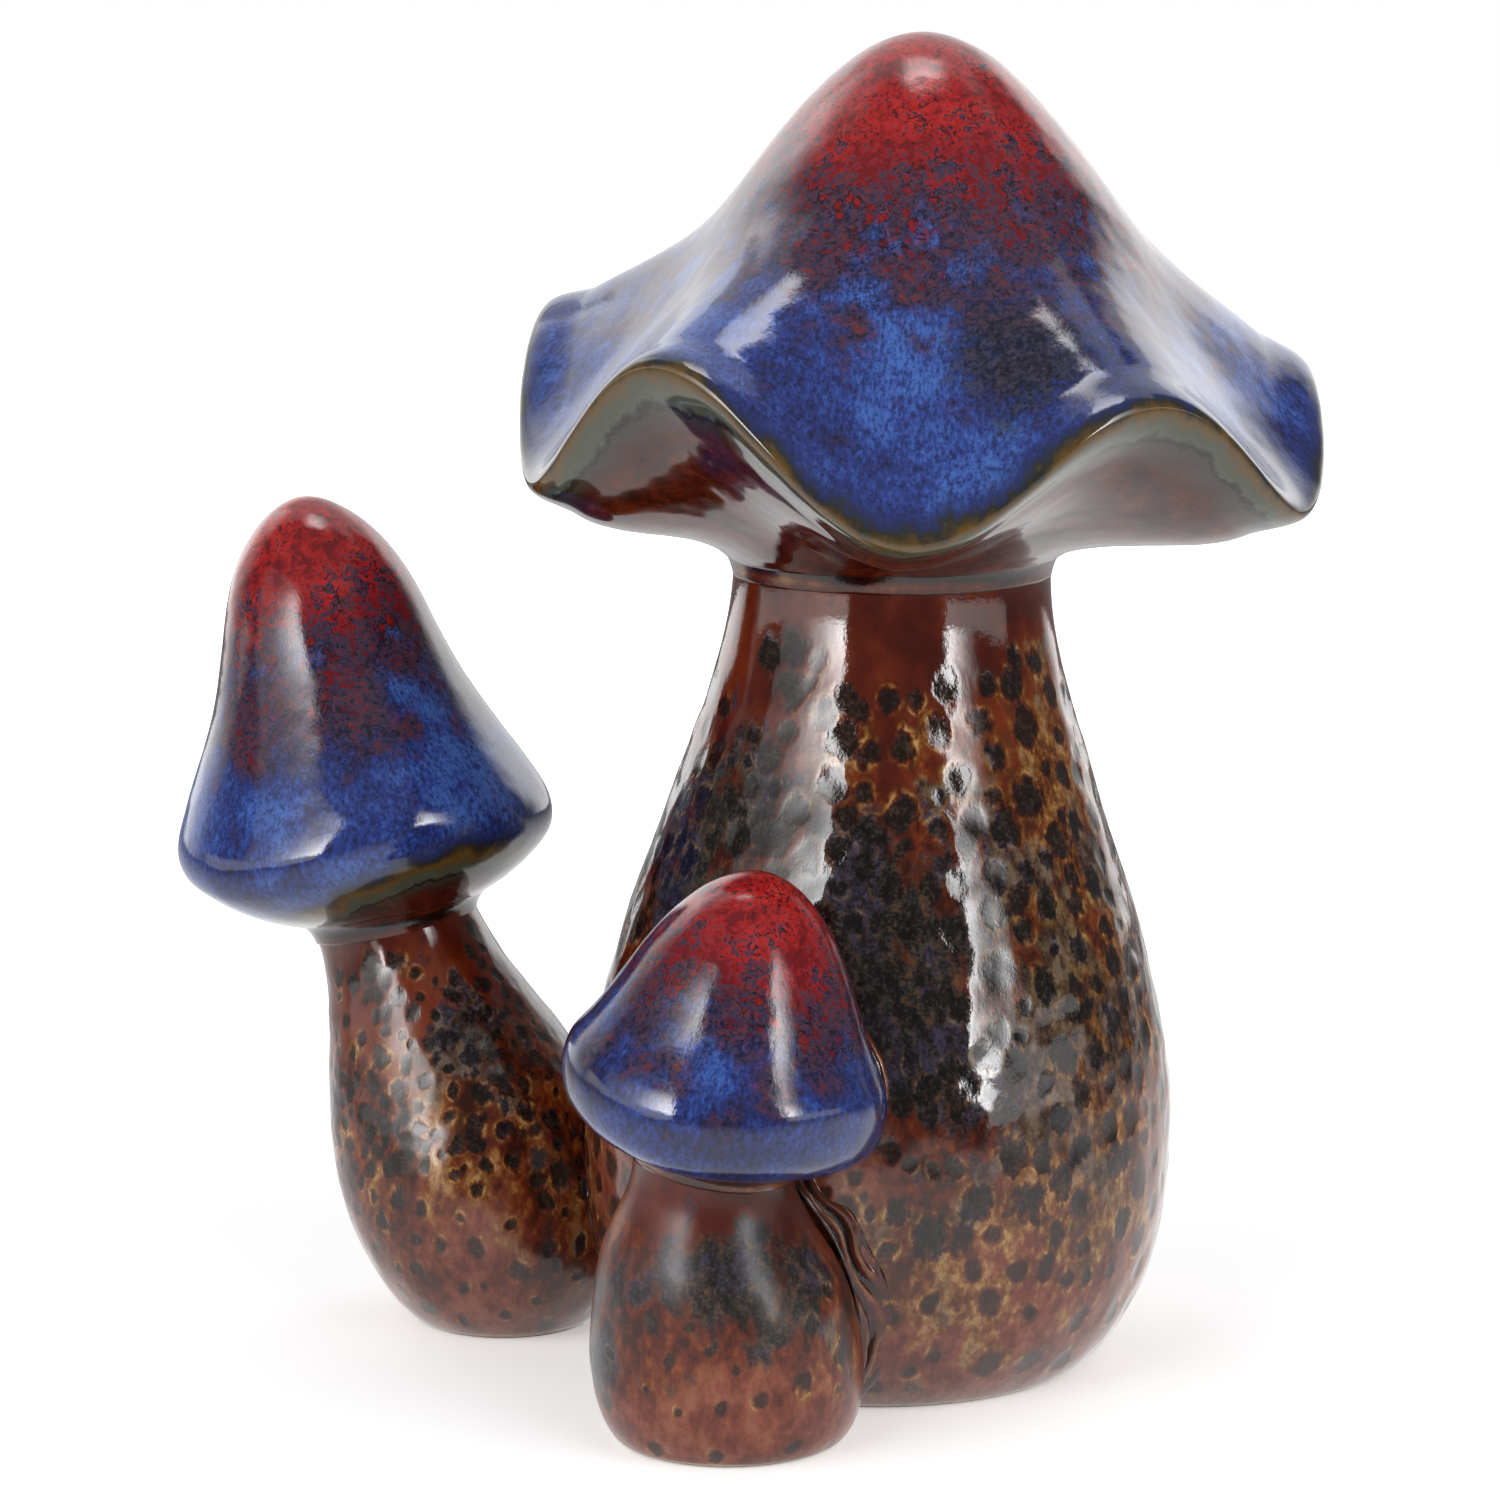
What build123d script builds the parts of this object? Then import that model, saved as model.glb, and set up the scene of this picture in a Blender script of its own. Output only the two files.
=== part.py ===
from build123d import *
from math import cos, pi, radians, sin
import os

os.makedirs("parts", exist_ok=True)

# Units are millimetres and degrees.
# Origin: centre of the big stem's foot. Z is up, X to the right, Y away from the front.
# A heading is an angle round Z, counted from X towards Y, so 270 is the front.

# The castings and the slip that holds them together
WALL = 4.5               # thickness of every hollow casting
FOOT_THICKNESS = 5.0     # floor of each stem
VENT_RADIUS = 3.0        # hole in each foot that lets the hollow breathe
VENT_SHARE = 0.5         # how far out the vent is, as a share of the foot radius
SLIP = 1.6               # layer of slip between two castings
BEAD = 2.0               # slip squeezed out past the edge of a contact
TENON_HEIGHT = 4.5       # collar on a stem that enters its cap
TENON_STEP = 2.2         # shoulder round that collar
TENON_GAP = 0.8          # slip between the collar and the hole in the cap
COLLAR_FLARE = 1.0       # how much wider a cap is than its stem where they meet

# The big stem
BIG_NECK_HEIGHT = 121.0
BIG_NECK_SHIFT = 2.2     # the stem leans this far towards X
BIG_FOOT_RADIUS = 31.8
BIG_FOOT_FLARE = 1.34     # how far the side runs out for each step up, at the foot
BIG_BELLY_RADIUS = 44.3
BIG_BELLY_SHARE = 0.26   # height of the belly as a share of the neck height
BIG_SHOULDER = (0.465, 0.875)  # share of the neck height, and of the bulge that is left there
BIG_THROAT = (0.85, 0.15)    # the same, just under the neck
BIG_NECK_RADIUS = 23.7

# The big cap, with its heights above the top of its stem
BIG_CAP_HEIGHT = 79.0
BIG_RIM_RADIUS = 59.6
BIG_RIM_HEIGHT = 22.8
BIG_CROWN = (0.263, 0.847)  # a point on the crown, as shares of rim radius and rise
BIG_FLANK = (0.578, 0.435)  # a point on the flank, in the same shares
BIG_LIP = (8.0, 7.3)      # depth and half thickness of the rounded edge
BIG_UNDERSIDE = (0.87, 0.8)  # slope of the underside at the edge and at the stem
BIG_CAP_SHIFT = 4.2       # the cap sits this far off the stem, towards X
BIG_LOBES = 5
BIG_LOBE_DEPTH = 9.6
BIG_LOBE_HEADING = 266.5  # heading of the lobe that hangs at the front
BIG_LOBE_FADE = 1.4       # the lobes are this much shallower towards FADE_HEADING
BIG_FADE_HEADING = 20.0
BIG_SAG = 3.3             # the whole rim hangs this much lower towards SAG_HEADING
BIG_SAG_HEADING = 333.0

# The left mushroom, which stands against the big stem and leans away from it
LEFT_HEADING = 162.0
LEFT_BITE = 7.2           # how far the two bellies run into each other
LEFT_LEAN = 18.0          # the neck is this far out from the foot
LEFT_NECK_HEIGHT = 62.2
LEFT_FOOT_RADIUS = 13.4
LEFT_FOOT_FLARE = 1.27
LEFT_BELLY_RADIUS = 22.8
LEFT_BELLY_SHARE = 0.37
LEFT_SHOULDER = (0.59, 0.73)
LEFT_THROAT = (0.85, 0.175)
LEFT_NECK_RADIUS = 12.65
LEFT_CAP_TILT = 11.3
LEFT_CAP_HEIGHT = 67.0
LEFT_RIM_RADIUS = 29.1
LEFT_RIM_HEIGHT = 15.0
LEFT_CROWN = (0.325, 0.89)
LEFT_FLANK = (0.637, 0.462)
LEFT_LIP = (1.4, 4.5)
LEFT_UNDERSIDE = (1.18, 0.33)
LEFT_CAP_SHIFT = 2.0        # the cap sits this far off the stem, outwards
LEFT_LOBES = 3
LEFT_LOBE_DEPTH = 1.6
LEFT_LOBE_HEADING = 73.0    # heading of one hanging lobe, counted from the outward side

# The front mushroom, whose cap also rests against the big stem
FRONT_HEADING = 244.0
FRONT_BITE = 13.4
FRONT_LEAN = 5.2
FRONT_NECK_HEIGHT = 42.5
FRONT_FOOT_RADIUS = 16.1
FRONT_FOOT_FLARE = 1.0
FRONT_BELLY_RADIUS = 19.4
FRONT_BELLY_SHARE = 0.41
FRONT_SHOULDER = (0.68, 0.65)
FRONT_THROAT = (0.9, 0.08)
FRONT_NECK_RADIUS = 11.6
FRONT_CAP_TILT = 10.6
FRONT_CAP_HEADING = 335.0
FRONT_CAP_HEIGHT = 43.0
FRONT_RIM_RADIUS = 23.5
FRONT_RIM_HEIGHT = 11.2
FRONT_CROWN = (0.586, 0.645)
FRONT_FLANK = (0.85, 0.27)
FRONT_LIP = (1.3, 5.0)
FRONT_UNDERSIDE = (1.5, 0.2)
FRONT_CAP_SHIFT = 0.3
FRONT_LOBES = 3
FRONT_LOBE_DEPTH = 1.0
FRONT_LOBE_HEADING = 6.0

# How the curved forms are drawn
BEND_SHARE = 0.4          # a leaning stem starts to bend over at about this share of its height
ROOT = 3.0                # how far a cutting body carries on below the ground
STEM_SECTIONS = 12
CAP_SECTIONS = 14
EDGE_SECTIONS = 4
UNDERSIDE_SECTIONS = 10
POINTS_PER_RING = 40
APEX_RADIUS = 1.0         # small flat that closes the top of a cap
CALM_SHARE = 0.4          # inside this share of the rim radius the lobes die out
LOBE_POWER = 1.2          # how quickly the lobes grow from there to the rim
RING_START = 50.0         # a slip ring is turned round from this heading
TIP_WALLS = 1.4           # a cap's hollow stops this many walls short of the rim


def towards(heading):
    """Level unit vector at a heading."""
    return Vector(cos(radians(heading)), sin(radians(heading)), 0)


def leaning_axis(tilt, heading):
    """Upright unit vector tipped over by an angle at a heading."""
    return towards(heading) * sin(radians(tilt)) + Vector(0, 0, cos(radians(tilt)))


def stem_profile(
    neck_height, foot_radius, foot_flare, belly_radius, belly_share, shoulder, throat, neck_radius
):
    """Radius of a stem, up Y, over height, along X."""
    bulge = belly_radius - neck_radius
    points = [
        (0, foot_radius),
        (belly_share * neck_height, belly_radius),
        (shoulder[0] * neck_height, neck_radius + shoulder[1] * bulge),
        (throat[0] * neck_height, neck_radius + throat[1] * bulge),
        (neck_height, neck_radius),
    ]
    return Edge.make_spline(points, tangents=[(1, foot_flare), (1, 0)])


def stem_form(foot, neck_plane, profile, grow, root=0):
    """Body of a stem: round sections, level at the foot and square to the cap at the neck.

    A root carries the foot on below the ground, for a body that another one is cut with.
    """
    neck = neck_plane.origin
    spine = Edge.make_bezier(foot, Vector(foot.X, foot.Y, BEND_SHARE * neck.Z), neck)
    with BuildPart() as form:
        for step in range(STEM_SECTIONS + 1):
            point = profile @ (step / STEM_SECTIONS)
            share = min(point.X / neck.Z, 1)
            normal = Vector(0, 0, 1 - share) + neck_plane.z_dir * share
            with BuildSketch(Plane(origin=spine @ share, x_dir=neck_plane.x_dir, z_dir=normal)):
                Circle(point.Y + grow)
        loft()
        if root:
            with BuildSketch(Plane(origin=foot, x_dir=neck_plane.x_dir, z_dir=(0, 0, 1))):
                Circle((profile @ 0).Y + grow)
            extrude(amount=-root)
    return form.part


def stem_hollow(foot, neck_plane, profile):
    """Inside of a stem, from its floor to its open top."""
    with BuildPart() as hollow:
        add(stem_form(foot, neck_plane, profile, -WALL))
        split(bisect_by=Plane.XY.offset(FOOT_THICKNESS), keep=Keep.TOP)
    return hollow.part


def rim_wave(lobes, depth, heading, fade=0.0, fade_heading=0.0, sag=0.0, sag_heading=0.0):
    """Height of the wavy rim as a function of the angle round the cap."""
    def wave(turn):
        local_depth = depth - fade * cos(turn - radians(fade_heading))
        lobe = -local_depth * cos(lobes * (turn - radians(heading)))
        return lobe - sag * cos(turn - radians(sag_heading))
    return wave


def cap_meridian(height, rim_radius, rim_height, crown, flank, lip, underside, collar_radius):
    """Half outline of a cap: its top, its rounded edge and its underside in to the collar."""
    rise = height - rim_height
    edge_radius = rim_radius - lip[0]
    flank_point = Vector(flank[0] * rim_radius, rim_height + flank[1] * rise)
    upper_edge = Vector(edge_radius, rim_height + lip[1])
    lower_edge = Vector(edge_radius, rim_height - lip[1])
    top = [
        (0, height),
        (crown[0] * rim_radius, rim_height + crown[1] * rise),
        flank_point,
        upper_edge,
    ]
    top_line = Edge.make_spline(top, tangents=[(1, 0), upper_edge - flank_point])
    underside_line = Edge.make_spline(
        [lower_edge, (collar_radius, SLIP)],
        tangents=[(-1, -underside[0]), (-1, -underside[1])],
    )
    edge_line = Edge.make_spline(
        [upper_edge, (rim_radius, rim_height), lower_edge],
        tangents=[upper_edge - flank_point, (-1, -underside[0])],
    )
    return top_line, edge_line, underside_line


def offset_stations(edge, count, grow):
    """Points along half an outline, moved out from it square to the surface."""
    stations = []
    for step in range(count + 1):
        point = edge @ (step / count)
        along = edge % (step / count)
        stations.append((point.X - grow * along.Y, point.Y + grow * along.X))
    return stations


def cap_loft(place, stations, rim_radius, collar_radius, wave, shift):
    """Solid through wavy rings; stations run over the top, round the rim and back under."""
    widest = max(range(len(stations)), key=lambda index: stations[index][0])
    calm_radius = max(CALM_SHARE * rim_radius, collar_radius + BEAD)
    rings = []
    for index, (radius, height) in enumerate(stations):
        swing = max(0, (radius - calm_radius) / (rim_radius - calm_radius)) ** LOBE_POWER
        off_centre = shift
        if index > widest:
            off_centre = shift * max(0, (radius - collar_radius) / (rim_radius - collar_radius))
        points = []
        for step in range(POINTS_PER_RING):
            turn = 2 * pi * step / POINTS_PER_RING
            local = Vector(
                off_centre + radius * cos(turn),
                radius * sin(turn),
                height + swing * wave(turn),
            )
            points.append(place.from_local_coords(local))
        rings.append(Wire([Edge.make_spline(points, periodic=True)]))
    return Solid.make_loft(rings[::-1])


def cap_form(place, meridian, rim_radius, collar_radius, wave, shift, grow):
    """Outside of a cap, grown by a distance all over except at its flat land."""
    top_line, edge_line, underside_line = meridian
    top = offset_stations(top_line, CAP_SECTIONS, grow)
    edge = offset_stations(edge_line, EDGE_SECTIONS, grow)
    underside = offset_stations(underside_line, UNDERSIDE_SECTIONS, grow)
    top[0] = (APEX_RADIUS, top[0][1])
    underside[-1] = (collar_radius + grow, SLIP)
    return cap_loft(place, top + edge[1:-1] + underside, rim_radius, collar_radius, wave, shift)


def cap_hollow(place, meridian, rim_radius, collar_radius, hole, wave, shift):
    """Inside of a cap, one wall in from its top and its underside, ending at its hole."""
    top_line, _, underside_line = meridian
    tip_radius = rim_radius - TIP_WALLS * WALL
    floor = SLIP + WALL
    top = offset_stations(top_line, CAP_SECTIONS, -WALL)
    underside = offset_stations(underside_line, UNDERSIDE_SECTIONS, -WALL)
    stations = [(APEX_RADIUS, top[0][1])]
    stations += [station for station in top[1:] if station[0] < tip_radius]
    stations += [station for station in underside if hole + WALL / 2 < station[0] < tip_radius]
    stations.append((hole - WALL / 4, floor))
    return cap_loft(place, stations, rim_radius, collar_radius, wave, shift)


def tenon_radius(neck_radius):
    """Outside of the collar that enters a cap."""
    return neck_radius - TENON_STEP


def hole_radius(neck_radius):
    """Hole in a cap round that collar."""
    return neck_radius - TENON_STEP + TENON_GAP


def slip_ring(place, neck_radius, stem_body, cap_body):
    """Slip that beds a cap on its stem: the bed with a round bead, and the fill round the collar."""
    inner = tenon_radius(neck_radius)
    outer = hole_radius(neck_radius)
    start = towards(RING_START)
    outwards = place.x_dir * start.X + place.y_dir * start.Y
    half_plane = Plane(origin=place.origin, x_dir=outwards, z_dir=outwards.cross(place.z_dir))
    neck_axis = Axis(place.origin, place.z_dir)
    with BuildPart() as ring:
        with BuildSketch(half_plane):
            with Locations(((inner + neck_radius) / 2, SLIP / 2)):
                Rectangle(neck_radius - inner, SLIP + BEAD)
            with Locations((neck_radius, SLIP / 2)):
                Circle(BEAD)
        revolve(axis=neck_axis)
        add(stem_body, mode=Mode.SUBTRACT)
        add(cap_body, mode=Mode.SUBTRACT)
        with BuildSketch(half_plane):
            with Locations(((inner + outer) / 2, (SLIP / 2 + TENON_HEIGHT) / 2)):
                Rectangle(outer - inner, TENON_HEIGHT - SLIP / 2)
        revolve(axis=neck_axis)
    return ring.part


# Places of the three mushrooms
big_foot = Vector(0, 0, 0)
big_neck = Plane(origin=(BIG_NECK_SHIFT, 0, BIG_NECK_HEIGHT), x_dir=(1, 0, 0), z_dir=(0, 0, 1))

left_foot = towards(LEFT_HEADING) * (BIG_BELLY_RADIUS + LEFT_BELLY_RADIUS - LEFT_BITE)
left_neck = Plane(
    origin=left_foot + towards(LEFT_HEADING) * LEFT_LEAN + Vector(0, 0, LEFT_NECK_HEIGHT),
    x_dir=towards(LEFT_HEADING),
    z_dir=leaning_axis(LEFT_CAP_TILT, LEFT_HEADING),
)

front_foot = towards(FRONT_HEADING) * (BIG_BELLY_RADIUS + FRONT_BELLY_RADIUS - FRONT_BITE)
front_neck = Plane(
    origin=front_foot + towards(FRONT_HEADING) * FRONT_LEAN + Vector(0, 0, FRONT_NECK_HEIGHT),
    x_dir=towards(FRONT_HEADING),
    z_dir=leaning_axis(FRONT_CAP_TILT, FRONT_CAP_HEADING),
)

# Outlines of the stems and caps
big_profile = stem_profile(
    BIG_NECK_HEIGHT, BIG_FOOT_RADIUS, BIG_FOOT_FLARE, BIG_BELLY_RADIUS,
    BIG_BELLY_SHARE, BIG_SHOULDER, BIG_THROAT, BIG_NECK_RADIUS,
)
left_profile = stem_profile(
    LEFT_NECK_HEIGHT, LEFT_FOOT_RADIUS, LEFT_FOOT_FLARE, LEFT_BELLY_RADIUS,
    LEFT_BELLY_SHARE, LEFT_SHOULDER, LEFT_THROAT, LEFT_NECK_RADIUS,
)
front_profile = stem_profile(
    FRONT_NECK_HEIGHT, FRONT_FOOT_RADIUS, FRONT_FOOT_FLARE, FRONT_BELLY_RADIUS,
    FRONT_BELLY_SHARE, FRONT_SHOULDER, FRONT_THROAT, FRONT_NECK_RADIUS,
)

big_collar = BIG_NECK_RADIUS + COLLAR_FLARE
left_collar = LEFT_NECK_RADIUS + COLLAR_FLARE
front_collar = FRONT_NECK_RADIUS + COLLAR_FLARE

big_meridian = cap_meridian(
    BIG_CAP_HEIGHT, BIG_RIM_RADIUS, BIG_RIM_HEIGHT,
    BIG_CROWN, BIG_FLANK, BIG_LIP, BIG_UNDERSIDE, big_collar,
)
left_meridian = cap_meridian(
    LEFT_CAP_HEIGHT, LEFT_RIM_RADIUS, LEFT_RIM_HEIGHT,
    LEFT_CROWN, LEFT_FLANK, LEFT_LIP, LEFT_UNDERSIDE, left_collar,
)
front_meridian = cap_meridian(
    FRONT_CAP_HEIGHT, FRONT_RIM_RADIUS, FRONT_RIM_HEIGHT,
    FRONT_CROWN, FRONT_FLANK, FRONT_LIP, FRONT_UNDERSIDE, front_collar,
)

big_wave = rim_wave(
    BIG_LOBES, BIG_LOBE_DEPTH, BIG_LOBE_HEADING, BIG_LOBE_FADE, BIG_FADE_HEADING, BIG_SAG, BIG_SAG_HEADING
)
left_wave = rim_wave(LEFT_LOBES, LEFT_LOBE_DEPTH, LEFT_LOBE_HEADING)
front_wave = rim_wave(FRONT_LOBES, FRONT_LOBE_DEPTH, FRONT_LOBE_HEADING)

# The big stem as the other pieces meet it: bare, under a layer of slip, and a wall beyond that
big_bare = stem_form(big_foot, big_neck, big_profile, 0)
big_slipped = stem_form(big_foot, big_neck, big_profile, SLIP, root=2 * ROOT)
big_walled = stem_form(big_foot, big_neck, big_profile, SLIP + WALL)
with BuildPart() as big_coat:
    add(big_slipped)
    add(stem_form(big_foot, big_neck, big_profile, 0, root=3 * ROOT), mode=Mode.SUBTRACT)

# Big stem: hollow, open into its cap, with a vent in its foot
big_stem_hollow = stem_hollow(big_foot, big_neck, big_profile)
with BuildPart() as big_stem:
    add(big_bare)
    with BuildSketch(big_neck):
        Circle(tenon_radius(BIG_NECK_RADIUS))
    extrude(amount=TENON_HEIGHT)
    add(big_stem_hollow, mode=Mode.SUBTRACT)
    with BuildSketch(big_neck):
        Circle(BIG_NECK_RADIUS - WALL)
    extrude(amount=TENON_HEIGHT, mode=Mode.SUBTRACT)
    with Locations(big_foot + Vector(0, VENT_SHARE * BIG_FOOT_RADIUS, 0)):
        Cylinder(VENT_RADIUS, 2 * FOOT_THICKNESS, mode=Mode.SUBTRACT)
big_stem.part.label = "big_stem"
export_step(big_stem.part, "parts/big_stem.step")

# Big cap: hollow, with a hole over the stem's collar
big_cap_outside = cap_form(big_neck, big_meridian, BIG_RIM_RADIUS, big_collar, big_wave, BIG_CAP_SHIFT, 0)
big_cap_hollow = cap_hollow(
    big_neck, big_meridian, BIG_RIM_RADIUS, big_collar,
    hole_radius(BIG_NECK_RADIUS), big_wave, BIG_CAP_SHIFT,
)
with BuildPart() as big_cap:
    add(big_cap_outside)
    add(big_cap_hollow, mode=Mode.SUBTRACT)
    with BuildSketch(big_neck):
        Circle(hole_radius(BIG_NECK_RADIUS))
    extrude(amount=SLIP + 2 * WALL, mode=Mode.SUBTRACT)
big_cap.part.label = "big_cap"
export_step(big_cap.part, "parts/big_cap.step")

# Slip ring under the big cap
big_ring = slip_ring(big_neck, BIG_NECK_RADIUS, big_bare, big_cap_outside)
with BuildPart() as big_cap_slip:
    add(big_ring)
big_cap_slip.part.label = "big_cap_slip"
export_step(big_cap_slip.part, "parts/big_cap_slip.step")

# Left stem: hollow, cut to the big stem's side where the two are stuck together
left_outside = stem_form(left_foot, left_neck, left_profile, 0)
left_hollow = stem_hollow(left_foot, left_neck, left_profile)
with BuildPart() as left_room:
    add(left_hollow)
    add(big_walled, mode=Mode.SUBTRACT)
with BuildPart() as left_stem:
    add(left_outside)
    add(big_slipped, mode=Mode.SUBTRACT)
    with BuildSketch(left_neck):
        Circle(tenon_radius(LEFT_NECK_RADIUS))
    extrude(amount=TENON_HEIGHT)
    add(left_room.part, mode=Mode.SUBTRACT)
    with BuildSketch(left_neck):
        Circle(LEFT_NECK_RADIUS - WALL)
    extrude(amount=TENON_HEIGHT, mode=Mode.SUBTRACT)
    with Locations(left_foot):
        Cylinder(VENT_RADIUS, 2 * FOOT_THICKNESS, mode=Mode.SUBTRACT)
left_stem.part.label = "left_stem"
export_step(left_stem.part, "parts/left_stem.step")

# Left cap
left_cap_outside = cap_form(
    left_neck, left_meridian, LEFT_RIM_RADIUS, left_collar, left_wave, LEFT_CAP_SHIFT, 0
)
left_cap_hollow = cap_hollow(
    left_neck, left_meridian, LEFT_RIM_RADIUS, left_collar,
    hole_radius(LEFT_NECK_RADIUS), left_wave, LEFT_CAP_SHIFT,
)
with BuildPart() as left_cap:
    add(left_cap_outside)
    add(left_cap_hollow, mode=Mode.SUBTRACT)
    with BuildSketch(left_neck):
        Circle(hole_radius(LEFT_NECK_RADIUS))
    extrude(amount=SLIP + 2 * WALL, mode=Mode.SUBTRACT)
left_cap.part.label = "left_cap"
export_step(left_cap.part, "parts/left_cap.step")

# Slip ring under the left cap
left_ring = slip_ring(left_neck, LEFT_NECK_RADIUS, left_outside, left_cap_outside)
with BuildPart() as left_cap_slip:
    add(left_ring)
left_cap_slip.part.label = "left_cap_slip"
export_step(left_cap_slip.part, "parts/left_cap_slip.step")

# Slip seam between the left stem and the big stem
left_grown = stem_form(left_foot, left_neck, left_profile, BEAD, root=ROOT)
with BuildPart() as left_stem_slip:
    add(big_coat.part)
    add(left_grown, mode=Mode.INTERSECT)
    split(bisect_by=Plane.XY, keep=Keep.TOP)
left_stem_slip.part.label = "left_stem_slip"
export_step(left_stem_slip.part, "parts/left_stem_slip.step")

# Front stem: hollow, cut to the big stem's side like the left one
front_outside = stem_form(front_foot, front_neck, front_profile, 0)
front_hollow = stem_hollow(front_foot, front_neck, front_profile)
with BuildPart() as front_room:
    add(front_hollow)
    add(big_walled, mode=Mode.SUBTRACT)
with BuildPart() as front_stem:
    add(front_outside)
    add(big_slipped, mode=Mode.SUBTRACT)
    with BuildSketch(front_neck):
        Circle(tenon_radius(FRONT_NECK_RADIUS))
    extrude(amount=TENON_HEIGHT)
    add(front_room.part, mode=Mode.SUBTRACT)
    with BuildSketch(front_neck):
        Circle(FRONT_NECK_RADIUS - WALL)
    extrude(amount=TENON_HEIGHT, mode=Mode.SUBTRACT)
    with Locations(front_foot):
        Cylinder(VENT_RADIUS, 2 * FOOT_THICKNESS, mode=Mode.SUBTRACT)
front_stem.part.label = "front_stem"
export_step(front_stem.part, "parts/front_stem.step")

# Front cap: hollow, its back cut to the big stem's side
front_cap_outside = cap_form(
    front_neck, front_meridian, FRONT_RIM_RADIUS, front_collar, front_wave, FRONT_CAP_SHIFT, 0
)
front_cap_hollow = cap_hollow(
    front_neck, front_meridian, FRONT_RIM_RADIUS, front_collar,
    hole_radius(FRONT_NECK_RADIUS), front_wave, FRONT_CAP_SHIFT,
)
with BuildPart() as front_cap_room:
    add(front_cap_hollow)
    add(big_walled, mode=Mode.SUBTRACT)
with BuildPart() as front_cap:
    add(front_cap_outside)
    add(big_slipped, mode=Mode.SUBTRACT)
    add(front_cap_room.part, mode=Mode.SUBTRACT)
    with BuildSketch(front_neck):
        Circle(hole_radius(FRONT_NECK_RADIUS))
    extrude(amount=SLIP + 2 * WALL, mode=Mode.SUBTRACT)
front_cap.part.label = "front_cap"
export_step(front_cap.part, "parts/front_cap.step")

# Slip ring under the front cap
front_ring = slip_ring(front_neck, FRONT_NECK_RADIUS, front_outside, front_cap_outside)
with BuildPart() as front_cap_slip:
    add(front_ring)
    add(big_slipped, mode=Mode.SUBTRACT)
front_cap_slip.part.label = "front_cap_slip"
export_step(front_cap_slip.part, "parts/front_cap_slip.step")

# Slip seam between the front stem and the big stem
front_grown = stem_form(front_foot, front_neck, front_profile, BEAD, root=ROOT)
with BuildPart() as front_stem_slip:
    add(big_coat.part)
    add(front_grown, mode=Mode.INTERSECT)
    split(bisect_by=Plane.XY, keep=Keep.TOP)
front_stem_slip.part.label = "front_stem_slip"
export_step(front_stem_slip.part, "parts/front_stem_slip.step")

# Slip seam between the back of the front cap and the big stem
front_cap_grown = cap_form(
    front_neck, front_meridian, FRONT_RIM_RADIUS, front_collar, front_wave, FRONT_CAP_SHIFT, BEAD
)
with BuildPart() as front_cap_seam:
    add(big_coat.part)
    add(front_cap_grown, mode=Mode.INTERSECT)
    add(front_stem_slip.part, mode=Mode.SUBTRACT)
front_cap_seam.part.label = "front_cap_seam"
export_step(front_cap_seam.part, "parts/front_cap_seam.step")
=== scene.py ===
"""Three glazed ceramic mushrooms joined at their stems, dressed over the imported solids."""
import math
import random

import bmesh
import bpy
import numpy as np
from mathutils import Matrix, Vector, kdtree, noise


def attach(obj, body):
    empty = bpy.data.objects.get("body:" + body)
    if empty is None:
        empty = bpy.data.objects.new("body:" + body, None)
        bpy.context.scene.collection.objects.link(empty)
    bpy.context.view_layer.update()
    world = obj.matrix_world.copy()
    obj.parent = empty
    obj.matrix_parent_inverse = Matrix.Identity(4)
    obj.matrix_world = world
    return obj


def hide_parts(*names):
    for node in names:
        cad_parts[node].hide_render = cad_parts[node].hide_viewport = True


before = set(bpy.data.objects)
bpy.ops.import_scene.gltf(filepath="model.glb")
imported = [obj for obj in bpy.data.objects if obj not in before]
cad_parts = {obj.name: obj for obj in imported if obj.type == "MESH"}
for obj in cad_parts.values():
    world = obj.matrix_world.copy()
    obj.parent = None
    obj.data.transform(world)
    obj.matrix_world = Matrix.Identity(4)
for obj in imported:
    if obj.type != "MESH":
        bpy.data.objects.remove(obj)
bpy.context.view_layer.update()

MM = 0.001

# Shapes in millimetres and degrees, as in the part's source
SLIP = 1.6
BEAD = 2.0
BEND_SHARE = 0.4
CALM_SHARE = 0.4
LOBE_POWER = 1.2

BIG_STEM = dict(
    height=121.0, foot=31.8, flare=1.34, belly=44.3, belly_share=0.26,
    shoulder=(0.465, 0.875), throat=(0.85, 0.15), neck=23.7,
)
LEFT_STEM = dict(
    height=62.2, foot=13.4, flare=1.27, belly=22.8, belly_share=0.37,
    shoulder=(0.59, 0.73), throat=(0.85, 0.175), neck=12.65,
)
FRONT_STEM = dict(
    height=42.5, foot=16.1, flare=1.0, belly=19.4, belly_share=0.41,
    shoulder=(0.68, 0.65), throat=(0.9, 0.08), neck=11.6,
)

# glaze_end, lip_end and bare are looks: how far over the rim the glaze and the lip reach, and where less
EVEN_RIM = dict(fade=0.0, fade_heading=0.0, sag=0.0, sag_heading=0.0, bare=0.0, bare_heading=0.0)
BIG_CAP = dict(
    EVEN_RIM, height=79.0, rim=59.6, rim_height=22.8, crown=(0.263, 0.847), flank=(0.578, 0.435),
    lip=(8.0, 7.3), underside=(0.87, 0.8), shift=4.2, collar=24.7, lobes=5, depth=9.6, heading=266.5,
    fade=1.4, fade_heading=20.0, sag=3.3, sag_heading=333.0, glaze_end=1.0, lip_end=1.0,
)
LEFT_CAP = dict(
    EVEN_RIM, height=67.0, rim=29.1, rim_height=15.0, crown=(0.325, 0.89), flank=(0.637, 0.462),
    lip=(1.4, 4.5), underside=(1.18, 0.33), shift=2.0, collar=13.65, lobes=3, depth=1.6, heading=73.0,
    glaze_end=1.1, lip_end=1.28, bare=0.18, bare_heading=150.0,
)
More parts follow.
